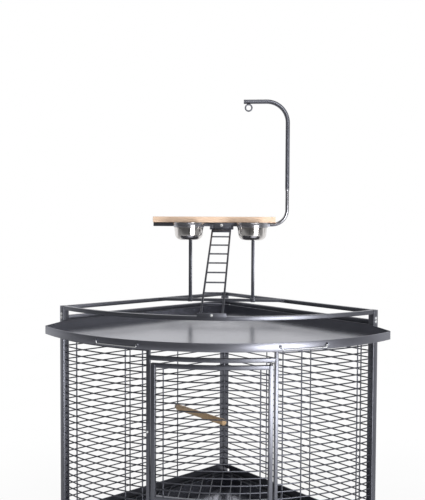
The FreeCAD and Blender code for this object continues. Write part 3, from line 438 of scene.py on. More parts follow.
def bevel(mesh: bmesh.types.BMesh, geom: list, size: float, affect: str, segments: int,
          clamp: bool = False) -> dict:
    """Round edges or corners of a mesh.

    Args:
        mesh: The mesh.
        geom: The edges or vertices.
        size: How far the rounding reaches.
        affect: EDGES or VERTICES.
        segments: The steps of each rounding.
        clamp: Whether the size gives way where roundings would meet.

    Returns:
        The operator's result.
    """
    return bmesh.ops.bevel(mesh, geom=geom, offset=size, offset_type="OFFSET", affect=affect,
                           segments=segments, profile=0.5, material=-1, clamp_overlap=clamp)


def spin(mesh: bmesh.types.BMesh, geom: list, centre: Point, axis: Point, angle: float, steps: int,
         merge: bool = False) -> list:
    """Turn geometry about an axis.

    Args:
        mesh: The mesh.
        geom: The faces, edges or vertices that sweep.
        centre: A point on the axis.
        axis: The axis.
        angle: The turn in radians.
        steps: The number of steps.
        merge: Whether a full turn closes on its start.

    Returns:
        The geometry at the end of the turn.
    """
    return bmesh.ops.spin(mesh, geom=geom, cent=Vector(centre), axis=Vector(axis),
                          dvec=(0.0, 0.0, 0.0), angle=angle, steps=steps, use_merge=merge,
                          use_duplicate=False)["geom_last"]


@dataclass(frozen=True)
class Square:
    """A rectangular bar section with rounded corners."""

    width: float
    height: float
    corner: float = 1.6
    segments: int = 3

    def draw(self, mesh: bmesh.types.BMesh, at: Matrix) -> list:
        """Draw the section as one face across the matrix's Z axis.

        Args:
            mesh: The mesh that takes it.
            at: Where the section stands; X is its width, Y its height.

        Returns:
            The face with its edges and vertices.
        """
        spots = [mesh.verts.new(at @ Vector((x * self.width / 2, y * self.height / 2, 0.0)))
                 for x, y in ((-1, -1), (1, -1), (1, 1), (-1, 1))]
        mesh.faces.new(spots)
        rounded = bevel(mesh, spots, self.corner, "VERTICES", self.segments)
        face = rounded["verts"][0].link_faces[0]
        return [face, *face.edges, *face.verts]


@dataclass(frozen=True)
class Round:
    """A round bar section."""

    radius: float
    sides: int

    def draw(self, mesh: bmesh.types.BMesh, at: Matrix) -> list:
        """Draw the section as one face across the matrix's Z axis.

        Args:
            mesh: The mesh that takes it.
            at: Where the section stands.

        Returns:
            The face with its edges and vertices.
        """
        made = bmesh.ops.create_circle(mesh, cap_ends=True, segments=self.sides,
                                       radius=self.radius, matrix=at)
        face = made["verts"][0].link_faces[0]
        return [face, *face.edges, *face.verts]


@dataclass(frozen=True)
class Go:
    """A straight run of a bar."""

    run: Point


@dataclass(frozen=True)
class Turn:
    """A bend of a bar about an axis, in degrees."""

    centre: Point
    axis: Point
    angle: float
    steps: int


Section = Union[Square, Round]
Move = Union[Go, Turn]


def heading(start: Point, along: Point, up: Point = AXIS_Z) -> Matrix:
    """A matrix at a point whose Z axis looks along a direction.

    Args:
        start: The point.
        along: The direction of Z.
        up: The direction that Y follows as near as it can.

    Returns:
        The matrix.
    """
    forward = Vector(along).normalized()
    side = Vector(up).cross(forward)
    if side.length < 1e-6:
        side = AXIS_X.cross(forward) if abs(forward.x) < 0.9 else AXIS_Y.cross(forward)
    side.normalize()
    turn = Matrix((side, forward.cross(side), forward)).transposed()
    return Matrix.Translation(Vector(start)) @ turn.to_4x4()


def turned(x: float, y: float, angle: float = 0.0) -> Matrix:
    """A frame at a spot of the plan, turned about the vertical by degrees."""
    return Matrix.Translation((x, y, 0.0)) @ Matrix.Rotation(math.radians(angle), 4, "Z")


class Shaper:
    """A mesh under construction; every drawing method returns the shaper itself."""

    def __init__(self, at: Optional[Matrix] = None) -> None:
        """Start an empty mesh in a frame."""
        self.mesh = bmesh.new()
        self.at = at or Matrix.Identity(4)

    def within(self, at: Matrix) -> "Shaper":
        """Draw the next shapes in another frame."""
        self.at = at
        return self

    def _fresh(self, old: set) -> list:
        """The vertices drawn since a set was taken."""
        return [vert for vert in self.mesh.verts if vert not in old]

    def _seat(self, old: set) -> "Shaper":
        """Move what was drawn since into the current frame."""
        bmesh.ops.transform(self.mesh, matrix=self.at, verts=self._fresh(old))
        return self

    def _push(self, geom: list, run: Point) -> list:
        """Extrude faces along a vector.

        Args:
            geom: The faces, with or without their edges and vertices.
            run: The vector.

        Returns:
            The faces at the far end with their edges and vertices.
        """
        moved = bmesh.ops.extrude_face_region(self.mesh, geom=geom)["geom"]
        bmesh.ops.translate(self.mesh, vec=Vector(run),
                            verts=[item for item in moved if isinstance(item, bmesh.types.BMVert)])
        return moved

    def block(self, low: Point, high: Point, corner: float, segments: int = 2) -> "Shaper":
        """Draw a box with rounded edges.

        Args:
            low: Its lowest corner.
            high: Its highest corner.
            corner: The radius of its edges.
            segments: The steps of each rounded edge.

        Returns:
            This shaper.
        """
        low, high = Vector(low), Vector(high)
        size = Matrix.Diagonal((*(high - low), 1.0))
        matrix = self.at @ Matrix.Translation((low + high) / 2) @ size
        made = bmesh.ops.create_cube(self.mesh, size=1.0, matrix=matrix)
        edges = list({edge for vert in made["verts"] for edge in vert.link_edges})
        bevel(self.mesh, edges, corner, "EDGES", segments, True)
        return self

    def rod(self, start: Point, end: Point, radius: float, sides: int,
            tip: float = 0.0) -> "Shaper":
        """Draw a straight round bar.

        Args:
            start: The middle of one end.
            end: The middle of the other end.
            radius: Its radius, or its corner radius for a few sides.
            sides: The number of its sides.
            tip: The size of the rounded edge at both ends.

        Returns:
            This shaper.
        """
        start, end = Vector(start), Vector(end)
        matrix = self.at @ heading((start + end) / 2, end - start)
        made = bmesh.ops.create_cone(self.mesh, cap_ends=True, segments=sides, radius1=radius,
                                     radius2=radius, depth=(end - start).length, matrix=matrix)
        if tip:
            faces = {face for vert in made["verts"] for face in vert.link_faces}
            rims = {edge for face in faces if len(face.verts) == sides for edge in face.edges}
            bevel(self.mesh, list(rims), tip, "EDGES", 2)
        return self

    def bar(self, section: Section, start: Point, along: Point, path: Iterable[Move],
            up: Point = AXIS_Z) -> "Shaper":
        """Draw a bar that follows runs and bends.

        Args:
            section: The bar's section.
            start: Where it starts.
            along: The way it sets out.
            path: Its runs and bends in order.
            up: The direction of the section's height.

        Returns:
            This shaper.
        """
        old = set(self.mesh.verts)
        front = section.draw(self.mesh, heading(start, along, up))
        for move in path:
            if isinstance(move, Go):
                front = self._push(front, move.run)
            else:
                front = spin(self.mesh, front, move.centre, move.axis, math.radians(move.angle),
                             move.steps)
        return self._seat(old)

    def arc(self, section: Section, radius: float, level: float, ends: Point,
            steps: int) -> "Shaper":
        """Draw a level bar round the frame's origin.

        Args:
            section: The bar's section.
            radius: The radius of its middle line.
            level: The height of its middle line.
            ends: The angles of both ends from straight ahead, in degrees, left below zero.
            steps: The number of its steps.

        Returns:
            This shaper.
        """
        angle = math.radians(ends[0])
        start = (radius * math.sin(angle), -radius * math.cos(angle), level)
        along = (math.cos(angle), math.sin(angle), 0.0)
        bend = Turn((0.0, 0.0, level), AXIS_Z, ends[1] - ends[0], steps)
        return self.bar(section, start, along, [bend])

    def lathe(self, profile: Sequence[tuple[float, float, float]], steps: int,
              segments: int) -> "Shaper":
        """Turn a profile about the frame's Z axis.

        Args:
            profile: Its corners as radius, height and rounding; a closed outline, or open
                between two poles.
            steps: The number of steps round the axis.
            segments: The steps of each rounded corner.

        Returns:
            This shaper.
        """
        old = set(self.mesh.verts)
        spots = [self.mesh.verts.new((radius, 0.0, height)) for radius, height, _ in profile]
        closing = [(spots[-1], spots[0])] if profile[0][0] > 0.0 else []
        for pair in [*zip(spots, spots[1:]), *closing]:
            self.mesh.edges.new(pair)
        for spot, (_, _, rounding) in zip(spots, profile):
            if rounding:
                bevel(self.mesh, [spot], rounding, "VERTICES", segments)
        line = self._fresh(old)
        edges = list({edge for vert in line for edge in vert.link_edges})
        spin(self.mesh, line + edges, (0.0, 0.0, 0.0), AXIS_Z, math.tau, steps, True)
        bmesh.ops.remove_doubles(self.mesh, verts=self._fresh(old), dist=1e-4)
        return self._seat(old)

    def ring(self, radii: Pair, levels: Pair, soft: float, steps: int, segments: int) -> "Shaper":
        """Draw a round band between two radii and two levels, with rounded corners.

        Args:
            radii: Its bore's and its outside's radius.
            levels: Its lower and its upper level.
            soft: The rounding of its corners.
            steps: The number of steps round the axis.
            segments: The steps of each rounded corner.

        Returns:
            This shaper.
        """
        (bore, edge), (low, high) = radii, levels
        corners = ((bore, low), (edge, low), (edge, high), (bore, high))
        return self.lathe([(*corner, soft) for corner in corners], steps, segments)

    def plate(self, outline: Sequence[Point], thick: Point, corner: float) -> "Shaper":
        """Draw a flat plate.

        Args:
            outline: The corners of one face in order.
            thick: The vector from that face to the other.
            corner: The size of its rounded edges.

        Returns:
            This shaper.
        """
        old = set(self.mesh.verts)
        face = self.mesh.faces.new([self.mesh.verts.new(Vector(spot)) for spot in outline])
        self._push([face, *face.edges, *face.verts], thick)
        if corner:
            edges = list({edge for vert in self._fresh(old) for edge in vert.link_edges})
            bevel(self.mesh, edges, corner, "EDGES", 1, True)
        return self._seat(old)

    def wedge(self, tip: Point, centre: Point, peak: Point, swing: float, steps: int,
              thick: float) -> "Shaper":
        """Draw a level sheet: an arc closed by two straight sides.

        Args:
            tip: Where the arc starts.
            centre: The arc's centre.
            peak: Where the straight sides meet.
            swing: The arc's angle in radians.
            steps: The number of its steps.
            thick: The sheet's thickness.

        Returns:
            This shaper.
        """
        old = set(self.mesh.verts)
        first = self.mesh.verts.new(tip)
        last = spin(self.mesh, [first], centre, AXIS_Z, swing, steps)[0]
        corner = self.mesh.verts.new(peak)
        self.mesh.edges.new((last, corner))
        self.mesh.edges.new((corner, first))
        rim = {edge for vert in self._fresh(old) for edge in vert.link_edges}
        faces = bmesh.ops.contextual_create(self.mesh, geom=list(rim))["faces"]
        self._push(faces, AXIS_Z * thick)
        return self._seat(old)

    def bolt(self, spot: Point, out: Point, radius: float, height: float) -> "Shaper":
        """Draw a dome-headed bolt on a washer.

        Args:
            spot: The point on the face under the washer.
            out: The way that the head looks.
            radius: The radius of the head.
            height: The height of the head.

        Returns:
            This shaper.
        """
        kept, sunk = self.at, -0.4
        rim, washer = radius * 1.35, height * 0.25
        self.within(kept @ heading(spot, out))
        self.lathe([(0.0, sunk, 0.0), (rim, sunk, 0.0), (rim, washer, 0.2), (radius, washer, 0.0),
                    (radius * 0.98, height * 0.55, radius * 0.3),
                    (radius * 0.6, height, radius * 0.35), (0.0, height, 0.0)], 16, 3)
        return self.within(kept)

    def piece(self, name: str, crease: Crease) -> bpy.types.Object:
        """Turn the mesh into an object in metres.

        Args:
            name: The object's name.
            crease: How sharp its edges stay.

        Returns:
            The object, with no finish yet.
        """
        bmesh.ops.scale(self.mesh, vec=(MM, MM, MM), verts=self.mesh.verts)
        bmesh.ops.recalc_face_normals(self.mesh, faces=self.mesh.faces)
        data = bpy.data.meshes.new(name)
        self.mesh.to_mesh(data)
        self.mesh.free()
        data.shade_smooth()
        data.set_sharp_from_angle(angle=math.radians(crease.value))
        made = bpy.data.objects.new(name, data)
        bpy.context.scene.collection.objects.link(made)
        return made


# The cage's plan and levels


@dataclass(frozen=True)
class Plan:
    """Sizes that the whole cage shares; lengths in millimetres, levels from the floor up."""

    back: float = 490.403
    side: float = 840.0
    guard: float = 1180.0
    post: float = 25.0
    rail: float = 15.0
    wall: float = 5.0
    outer: float = 838.0
    wire: float = 1.75
    wire_coat: float = 0.7
    pitch: float = 25.4
    stand_y: float = 207.403
    side_low: float = 1128.0
    top_rail: float = 1081.7
    header: float = 1021.5
    sill: float = 506.5
    bottom: float = 377.6
    base: float = 302.6
    foot: float = 85.0
    left_turn: float = 225.0
    right_turn: float = 135.0
    level_sides: int = 8
    upright_sides: int = 10

    @property
    def middle(self) -> float:
        """The radius of the curved front's middle line."""
        return self.outer - self.rail / 2

    @property
    def level_wire(self) -> tuple[float, int]:
        """The radius with its coat and the sides of a level wire."""
        return self.wire + self.wire_coat, self.level_sides

    @property
    def upright_wire(self) -> tuple[float, int]:
        """The radius with its coat and the sides of an upright wire."""
        return self.wire + self.wire_coat, self.upright_sides

    @property
    def floor(self) -> float:
        """The level where the bar panels end."""
        return self.bottom + self.rail

    def left_wall(self) -> Matrix:
        """The left rear wall's frame: X from the back corner, Y inwards."""
        return self.front(self.left_turn)

    def right_wall(self) -> Matrix:
        """The right rear wall's frame: X to the back corner, Y inwards."""
        half = self.side * math.sqrt(0.5)
        return turned(half, -half) @ self.front(self.right_turn)

    def front(self, angle: float = 0.0) -> Matrix:
        """A frame on the back corner whose -Y looks along an angle of the front."""
        return turned(0.0, self.back, angle)

    def front_rail(self, shape: Shaper, low: float, end: float, steps: int) -> None:
        """Draw a rail of the curved front, level and with both ends at one angle."""
        section = Square(self.rail, self.rail)
        shape.arc(section, self.middle, low + self.rail / 2, (-end, end), steps)

    def rows(self, high: float, low: float) -> list[float]:
        """The levels of the wires that are clear between two levels.

        Args:
            high: The upper level.
            low: The lower level.

        Returns:
            The wires' levels from the top down.
        """
        first = math.floor((self.guard - high + 2 * self.wire) / self.pitch) + 1
        last = math.floor((self.guard - low - 2 * self.wire) / self.pitch)
        return [self.guard - row * self.pitch for row in range(first, last + 1)]

    @staticmethod
    def across(reach: float, step: float = 42.0, margin: float = 38.0) -> list[float]:
        """The places of fore-and-aft wires across a quarter-round plan.

        Args:
            reach: The plan's radius.
            step: The wires' spacing.
            margin: What stays free at both tips.

        Returns:
            The wires' places from left to right.
        """
        count = math.floor((reach * math.sqrt(0.5) - margin) / step)
        return [index * step for index in range(-count, count + 1)]

    @staticmethod
    def tip(apex: float, middle: float, radius: float) -> Pair:
        """Where a straight side meets a round front on the right.

        Args:
            apex: How far the straight sides' corner lies in front of the back corner.
            middle: How far the round front's centre lies in front of the back corner.
            radius: The round front's radius.

        Returns:
            X and Y of the tip, from the back corner.
        """
        gap = apex - middle
        reach = (-gap + math.sqrt(2 * radius ** 2 - gap ** 2)) / 2
        return reach, -apex - reach


PLAN = Plan()


class SubAssembly:
    """A group of pieces that is built first and dressed after; sizes are as in the plan."""

    def __post_init__(self) -> None:
        """Start with no pieces."""
        self.made: list[tuple[bpy.types.Object, Finish]] = []

    def keep(self, shape: Shaper, name: str, finish: Finish, body: str = CAGE, *nodes: str,
             crease: Crease = Crease.FOLDED) -> None:
        """Make a shape a piece of the scene.

        Args:
            shape: The finished shape.
            name: The piece's name.
            finish: The finish that it gets when it is dressed.
            body: The body that it moves with.
            nodes: The solids that it stands for.
            crease: How sharp its edges stay.
        """
        piece = shape.piece(name, crease)
        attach(piece, body)
        if nodes:
            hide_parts(*nodes)
        self.made.append((piece, finish))

    def stand_in(self, shape: Shaper, node: str, word: str, finish: Finish, body: str = CAGE,
                 crease: Crease = Crease.FOLDED) -> None:
        """Make a shape the piece that stands for one solid and is named after it and a word."""
        self.keep(shape, f"{node}_{word}", finish, body, node, crease=crease)

    def build(self) -> None:
        """Build the meshes."""
        raise NotImplementedError

    def dress(self) -> None:
        """Give every piece its finish."""
        for piece, finish in self.made:
            piece.data.materials.append(finish.material())


@dataclass
class CageFrame(SubAssembly):
    """Posts and rails of the fixed frame."""

    arc_end: float = 43.256
    arc_steps: int = 72
    post_round: float = 2.0
    rail_round: float = 1.6
    bolt_drops: Pair = (30.0, 43.0)
    bolt_head: Pair = (4.2, 3.0)
    plain_solids: tuple[str, ...] = ("top_runners", "lower_runners", "guard_cross_bar")

    def build(self) -> None:
        """Build the posts, the rails and their bolts."""
        self.posts()
        self.straight_rails()
        self.curved_rails()
        self.bolts()

    def dress(self) -> None:
        """Finish the pieces, and the strips and the bar that stay in view as solids."""
        super().dress()
        for node in self.plain_solids:
            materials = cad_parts[node].data.materials
            materials.clear()
            materials.append(FRAME_COAT.material())
            log.info("%s wears %s", node, FRAME_COAT.name)

    def posts(self) -> None:
        """Three full-height posts and the short front leg."""
        post, outer = PLAN.post, PLAN.outer
        spots = {"left": (PLAN.left_wall(), PLAN.side - post), "back": (PLAN.left_wall(), 0.0),
                 "right": (PLAN.right_wall(), 0.0)}
        for word, (at, x) in spots.items():
            shape = Shaper(at).block((x, 0.0, PLAN.foot), (x + post, post, PLAN.guard),
                                     self.post_round, 3)
            self.stand_in(shape, f"corner_post_{word}", "tube", FRAME_COAT)
        leg = Shaper(PLAN.front()).block((-post / 2, -outer, PLAN.foot),
                                         (post / 2, post - outer, PLAN.base), self.post_round, 3)
        self.stand_in(leg, "front_leg", "tube", FRAME_COAT)

    def straight_rails(self) -> None:
        """The rails of both rear walls."""
        levels = {"guard_side_rails": PLAN.guard - PLAN.rail, "side_rails": PLAN.side_low,
                  "bottom_side_rails": PLAN.bottom, "base_side_rails": PLAN.base}
        inner, far = PLAN.wall + PLAN.rail, PLAN.side - PLAN.post
        for node, low in levels.items():
            shape = Shaper()
            for at in (PLAN.left_wall(), PLAN.right_wall()):
                shape.within(at).block((PLAN.post, PLAN.wall, low), (far, inner, low + PLAN.rail),
                                       self.rail_round)
            self.stand_in(shape, node, "tubes", FRAME_COAT)

    def curved_rails(self) -> None:
        """The rails of the curved front."""
        levels = {"guard_rail_front": PLAN.guard - PLAN.rail, "front_top_rail": PLAN.top_rail,
                  "bottom_rail_front": PLAN.bottom, "base_rail_front": PLAN.base}
        for node, low in levels.items():
            shape = Shaper(PLAN.front())
            PLAN.front_rail(shape, low, self.arc_end, self.arc_steps)
            self.stand_in(shape, node, "tube", FRAME_COAT)

    def bolts(self) -> None:
        """Bolts through the posts under the guard rails."""
        shape = Shaper()
        spots = ((PLAN.left_wall(), PLAN.side, AXIS_X), (PLAN.right_wall(), 0.0, -AXIS_X))
        for at, x, out in spots:
            for drop in self.bolt_drops:
                spot = (x, PLAN.post / 2, PLAN.guard - drop)
                shape.within(at).bolt(spot, out, *self.bolt_head)
        self.keep(shape, "post_bolts", ZINC)


@dataclass(frozen=True)
class CurvedWires:
    """Level wires of the curved front, with uprights inside them."""

    ends: Pair
    uprights: tuple[float, ...]
    high: float
    low: float
    weld: float = 0.05
    step: float = 2.4

    def shape(self) -> Shaper:
        """Draw the wires.

        Returns:
            The panel's shape.
        """
        shape = Shaper(PLAN.front())
        steps = max(6, round((self.ends[1] - self.ends[0]) / self.step))
        for level in PLAN.rows(self.high, self.low):
            shape.arc(Round(*PLAN.level_wire), PLAN.middle, level, self.ends, steps)
        y = -PLAN.middle + 2 * PLAN.wire + self.weld
        for angle in self.uprights:
            shape.within(PLAN.front(angle))
            shape.rod((0.0, y, self.low), (0.0, y, self.high), *PLAN.upright_wire)
        return shape


@dataclass
class BarPanels(SubAssembly):
    """The welded wires of the walls, the front and the roof."""

    upright_first: float = 40.0
    upright_step: float = 246.0
    upright_count: int = 4
    panel_ends: Pair = (15.83, 43.26)
    panel_uprights: tuple[float, ...] = (17.1, 21.9, 38.5)
    under_end: float = 14.97
    under_upright: float = 11.7
    roof_top: float = 1094.7
    roof_ties: tuple[float, ...] = (668.0, 498.0, 328.0)
    roof_apex: float = 36.06
    roof_reach: float = 822.85

    def build(self) -> None:
        """Build every panel."""
        last = PLAN.side - self.upright_first - (self.upright_count - 1) * self.upright_step
        self.rear("grille_rear_left", PLAN.left_wall(), self.upright_first)
        self.rear("grille_rear_right", PLAN.right_wall(), last)
        for side in Side:
            near, far = sorted(side.value * angle for angle in self.panel_ends)
            uprights = tuple(side.value * angle for angle in self.panel_uprights)
            self.front(f"grille_front_{side.word}",
                       CurvedWires((near, far), uprights, PLAN.top_rail, PLAN.floor))
        self.front("grille_under_door",
                   CurvedWires((-self.under_end, self.under_end),
                               (-self.under_upright, self.under_upright), PLAN.sill, PLAN.floor))
        self.roof()

    def rear(self, node: str, at: Matrix, first: float) -> None:
        """One rear wall: level wires and the uprights inside them.

        Args:
            node: The solid that the panel stands for.
            at: The wall's frame.
            first: Where the first upright stands.
        """
        shape = Shaper(at)
        mid, far = PLAN.post / 2, PLAN.side - PLAN.post
        for level in PLAN.rows(PLAN.side_low, PLAN.floor):
            shape.rod((PLAN.post, mid, level), (far, mid, level), *PLAN.level_wire)
        inner = mid + 2 * PLAN.wire
        for index in range(self.upright_count):
            x = first + index * self.upright_step
            shape.rod((x, inner, PLAN.floor), (x, inner, PLAN.side_low), *PLAN.upright_wire)
        self.stand_in(shape, node, "wires", WIRE_COAT, crease=Crease.ROUND)

    def front(self, node: str, wires: CurvedWires) -> None:
        """One curved panel of the front."""
        self.stand_in(wires.shape(), node, "wires", WIRE_COAT, crease=Crease.ROUND)

    def roof(self) -> None:
        """The roof under the top tray: long wires over a few ties."""
        shape = Shaper(PLAN.front())
        level = self.roof_top - PLAN.wire
        for x in PLAN.across(self.roof_reach):
            reach = math.sqrt(self.roof_reach ** 2 - x ** 2)
            shape.rod((x, -reach, level), (x, -self.roof_apex - abs(x), level), *PLAN.level_wire)
        level -= 2 * PLAN.wire
        for y in self.roof_ties:
            reach = min(y - self.roof_apex, math.sqrt(self.roof_reach ** 2 - y ** 2))
            shape.rod((-reach, -y, level), (reach, -y, level), *PLAN.level_wire)
        self.keep(shape, "roof_wires", WIRE_COAT, CAGE, "roof_grille", crease=Crease.ROUND)


@dataclass
class DoorSet(SubAssembly):
    """The door opening, the door on its pivots and the turn button."""

    half_angle: float = 15.4
    post_width: float = 12.0
    post_round: float = 1.4
    header_end: float = 14.98
    header_steps: int = 28
    rail_steps: int = 26
    low: float = 531.5
    height: float = 480.0
    stile: float = 15.0
    stile_round: float = 1.6
    gap: float = 5.5
    weld: float = 0.05
    upright: float = 11.7
    pivot: float = 3.0
    pivot_length: float = 16.0
    collar: float = 3.0
    button_length: float = 44.0
    button_width: float = 10.0
    button_thick: float = 3.0
    button_gap: float = 0.4
    button_pin: Pair = (2.5, 5.0)
    screw_head: Pair = (3.4, 2.2)

    @property
    def high(self) -> float:
        """The level of the door's top."""
        return self.low + self.height

    @property
    def stile_angle(self) -> float:
        """The angle of a stile's middle in degrees."""
        across = self.post_width / 2 + self.gap + self.stile / 2
        return self.half_angle - math.degrees(math.asin(across / PLAN.middle))

    @property
    def rail_end(self) -> float:
        """The angle where the door's curved rails and wires end."""
        across = self.stile / 2 + self.weld
        return self.stile_angle - math.degrees(math.asin(across / (PLAN.outer - PLAN.rail)))

    def build(self) -> None:
        """Build the opening, the door and the button."""
        self.opening()
        self.leaf()
        wires = CurvedWires((-self.rail_end, self.rail_end), (-self.upright, self.upright),
                            self.high - PLAN.rail, self.low + PLAN.rail)
        self.stand_in(wires.shape(), "door_grille", "wires", WIRE_COAT, "door", Crease.ROUND)
        self.pivots()
        self.button()

    def opening(self) -> None:
        """Two posts, the header and the sill."""
        half, outer = self.post_width / 2, PLAN.outer
        for side in Side:
            shape = Shaper(PLAN.front(side.value * self.half_angle))
            shape.block((-half, -outer, PLAN.floor), (half, PLAN.rail - outer, PLAN.top_rail),
                        self.post_round)
            self.stand_in(shape, f"door_post_{side.word}", "tube", FRAME_COAT)
        for node, low in (("door_header", PLAN.header), ("door_sill", PLAN.sill)):
            shape = Shaper(PLAN.front())
            PLAN.front_rail(shape, low, self.header_end, self.header_steps)
            self.stand_in(shape, node, "tube", FRAME_COAT)

    def leaf(self) -> None:
        """The door's stiles and curved rails."""
        shape = Shaper()
        half, outer = self.stile / 2, PLAN.outer
        for side in Side:
            shape.within(PLAN.front(side.value * self.stile_angle))
            shape.block((-half, -outer, self.low), (half, PLAN.rail - outer, self.high),
                        self.stile_round, 3)
        shape.within(PLAN.front())
        for low in (self.low, self.high - PLAN.rail):
            PLAN.front_rail(shape, low, self.rail_end, self.rail_steps)
        self.stand_in(shape, "door_frame", "tubes", FRAME_COAT, "door")

    def pivots(self) -> None:
        """Round pivots over and under the hinge stile, with a collar on each."""
        shape = Shaper(PLAN.front(self.stile_angle) @ turned(0.0, -PLAN.middle))
        rods = ((self.pivot, self.pivot_length, 20, 0.5), (2 * self.pivot, self.collar, 24, 0.6))
        for radius, length, sides, soft in rods:
            for low in (self.high, self.low - length):
                shape.rod(AXIS_Z * low, AXIS_Z * (low + length), radius, sides, soft)
        self.keep(shape, "door_pivot_pins", DULL_ZINC, "door", "door_pivots")

    def button(self) -> None:
        """The turn button with a rounded bar and a domed screw."""
        half, thick = self.button_width / 2, self.button_thick
        face = -PLAN.outer - self.button_gap
        low = self.low + self.height / 2
        run = self.button_length - self.button_width
        at = PLAN.front(-self.half_angle)
        shape = Shaper(at)
        shape.bar(Square(self.button_width, thick, 1.0, 2), (0.0, face - thick / 2, low), AXIS_Z,
                  [Go((0.0, 0.0, run))], -AXIS_Y)
        for z in (low, low + run):
            shape.within(at @ heading((0.0, face, z), -AXIS_Y))
            shape.lathe([(0.0, 0.0, 0.0), (half, 0.0, 0.4), (half, thick, 0.8),
                         (0.0, thick, 0.0)], 28, 2)
        radius, length = self.button_pin
        shape.within(at).rod((0.0, face, low), (0.0, face + length, low), radius, 16)
        self.stand_in(shape, "door_button", "bar", FRAME_COAT, "button")
        screw = Shaper(at).bolt((0.0, face - thick, low), -AXIS_Y, *self.screw_head)
        self.keep(screw, "door_button_screw", ZINC, "button")


@dataclass
class SheetTray(SubAssembly):
    """A folded sheet tray of wedge plan with a round front and rolled hems."""

    node: str
    body: str
    apex: float
    middle: float
    radius: float
    low: float
    high: float
    front_low: float
    front_high: float
    taper: float = 0.0
    sheet: float = 1.5
    hem: float = 1.7
    hem_drop: float = 0.2
    seam: float = 0.05
    steps: int = 90

    def tip(self) -> Pair:
        """The right tip where a straight side meets the round front."""
        return PLAN.tip(self.apex, self.middle, self.radius)

    def build(self) -> None:
        """Build the pan and its front."""
        pan = Shaper(PLAN.front())
        x, y = self.tip()
        pan.wedge((-x + self.sheet, y, self.low), (0.0, -self.middle, self.low),
                  (0.0, -self.apex - self.sheet, self.low),
                  2 * math.atan2(x, -y - self.middle), self.steps, self.sheet)
        for side in Side:
            self.wall(pan, side)
        self.stand_in(pan, self.node, "sheet", TRAY_COAT, self.body)
        self.keep(self.front(), self.node + "_sheet_front", LIP_COAT, self.body)

    def front(self) -> Shaper:
        """The round front sheet with a hem along its top.

        Returns:
            The front's shape.
        """
        end = math.degrees(math.asin(self.tip()[0] / self.radius))
        shape = Shaper(PLAN.front() @ turned(0.0, -self.middle))
        level = (self.front_low + self.front_high - self.hem) / 2
        sheet = Square(self.sheet, self.front_high - self.front_low - self.hem, 0.4, 2)
        shape.arc(sheet, self.radius - self.sheet / 2, level, (-end, end), self.steps)
        shape.arc(Round(self.hem, 12), self.radius - self.hem, self.front_high - self.hem,
                  (-end, end), self.steps)
        return shape

    def wall(self, shape: Shaper, side: Side) -> None:
        """One straight wall with a hem; its top comes down to the front over the taper.

        Args:
            shape: The pan that takes it.
            side: The wall's side.
        """
        x, y = self.tip()
        way = Vector((side.value * x, y + self.apex, 0.0))
        length = way.length
        way.normalize()
        inward = Vector((way.y, -way.x, 0.0)) * side.value
        foot = Vector((0.0, -self.apex, 0.0)) + way * length
        start = foot - way * (length - self.seam * side.value)
        knee = foot - way * self.taper
        rim = [start + AXIS_Z * self.high, knee + AXIS_Z * self.high]
        if self.taper:
            rim.append(foot + AXIS_Z * self.front_high)
        shape.plate([start + AXIS_Z * self.low, *rim, foot + AXIS_Z * self.low],
                    inward * self.sheet, 0.3)
        shift = inward * self.hem - AXIS_Z * self.hem_drop
        for first, last in zip(rim, rim[1:]):
            shape.rod(first + shift, last + shift, self.hem, 12)


@dataclass
class TrayPulls(SubAssembly):
    """Two wire pulls that hang on lugs in front of the top tray's lip."""

    centre: float = 193.81
    turn: float = 23.1
    lug_x: float = 83.63
    lug: float = 5.0
    lug_back: float = 782.86
    axis: float = 789.86
    level: float = 1100.1
    hang: float = 9.0
    wire: float = 1.5
    leg: float = 79.23
    tail: float = 88.13
    bend: float = 3.0

    def frame(self, side: Side) -> Matrix:
        """A frame on the lip's axis, turned to the middle of one pull."""
        return PLAN.front() @ turned(0.0, -self.centre, side.value * self.turn)

    def build(self) -> None:
        """Build the lugs and both pulls."""
        lugs = Shaper()
        half, face = self.lug / 2, -self.axis - 2 * self.wire
        for side in Side:
            lugs.within(self.frame(side))
            for x in (-self.lug_x, self.lug_x):
                lugs.block((x - half, face, self.level - self.lug),
                           (x + half, -self.lug_back, self.level + self.lug), 1.2)
        self.keep(lugs, "pull_lug_tabs", FRAME_COAT, "tray", "pull_lugs")
        for side in Side:
            self.pull(side)

    def pull(self, side: Side) -> None:
        """One pull: a wire loop that is bent out into the lugs.

        Args:
            side: The pull's side.
        """
        r, y = self.bend, -self.axis
        high, low = self.level - r, self.level - self.hang + r
        out, inner = self.leg + r, self.leg - r
        end, drop = Go((self.tail - out, 0.0, 0.0)), low - high
        path = [end, Turn((-out, y, high), AXIS_Y, 90.0, 6), Go((0.0, 0.0, drop)),
                Turn((-inner, y, low), AXIS_Y, -90.0, 6), Go((2 * inner, 0.0, 0.0)),
                Turn((inner, y, low), AXIS_Y, -90.0, 6), Go((0.0, 0.0, -drop)),
                Turn((out, y, high), AXIS_Y, 90.0, 6), end]
        shape = Shaper(self.frame(side))
        shape.bar(Round(self.wire, 12), (-self.tail, y, self.level), AXIS_X, path)
        self.stand_in(shape, f"tray_pull_{side.word}", "wire", ZINC, f"pull_{side.word}",
                      Crease.ROUND)


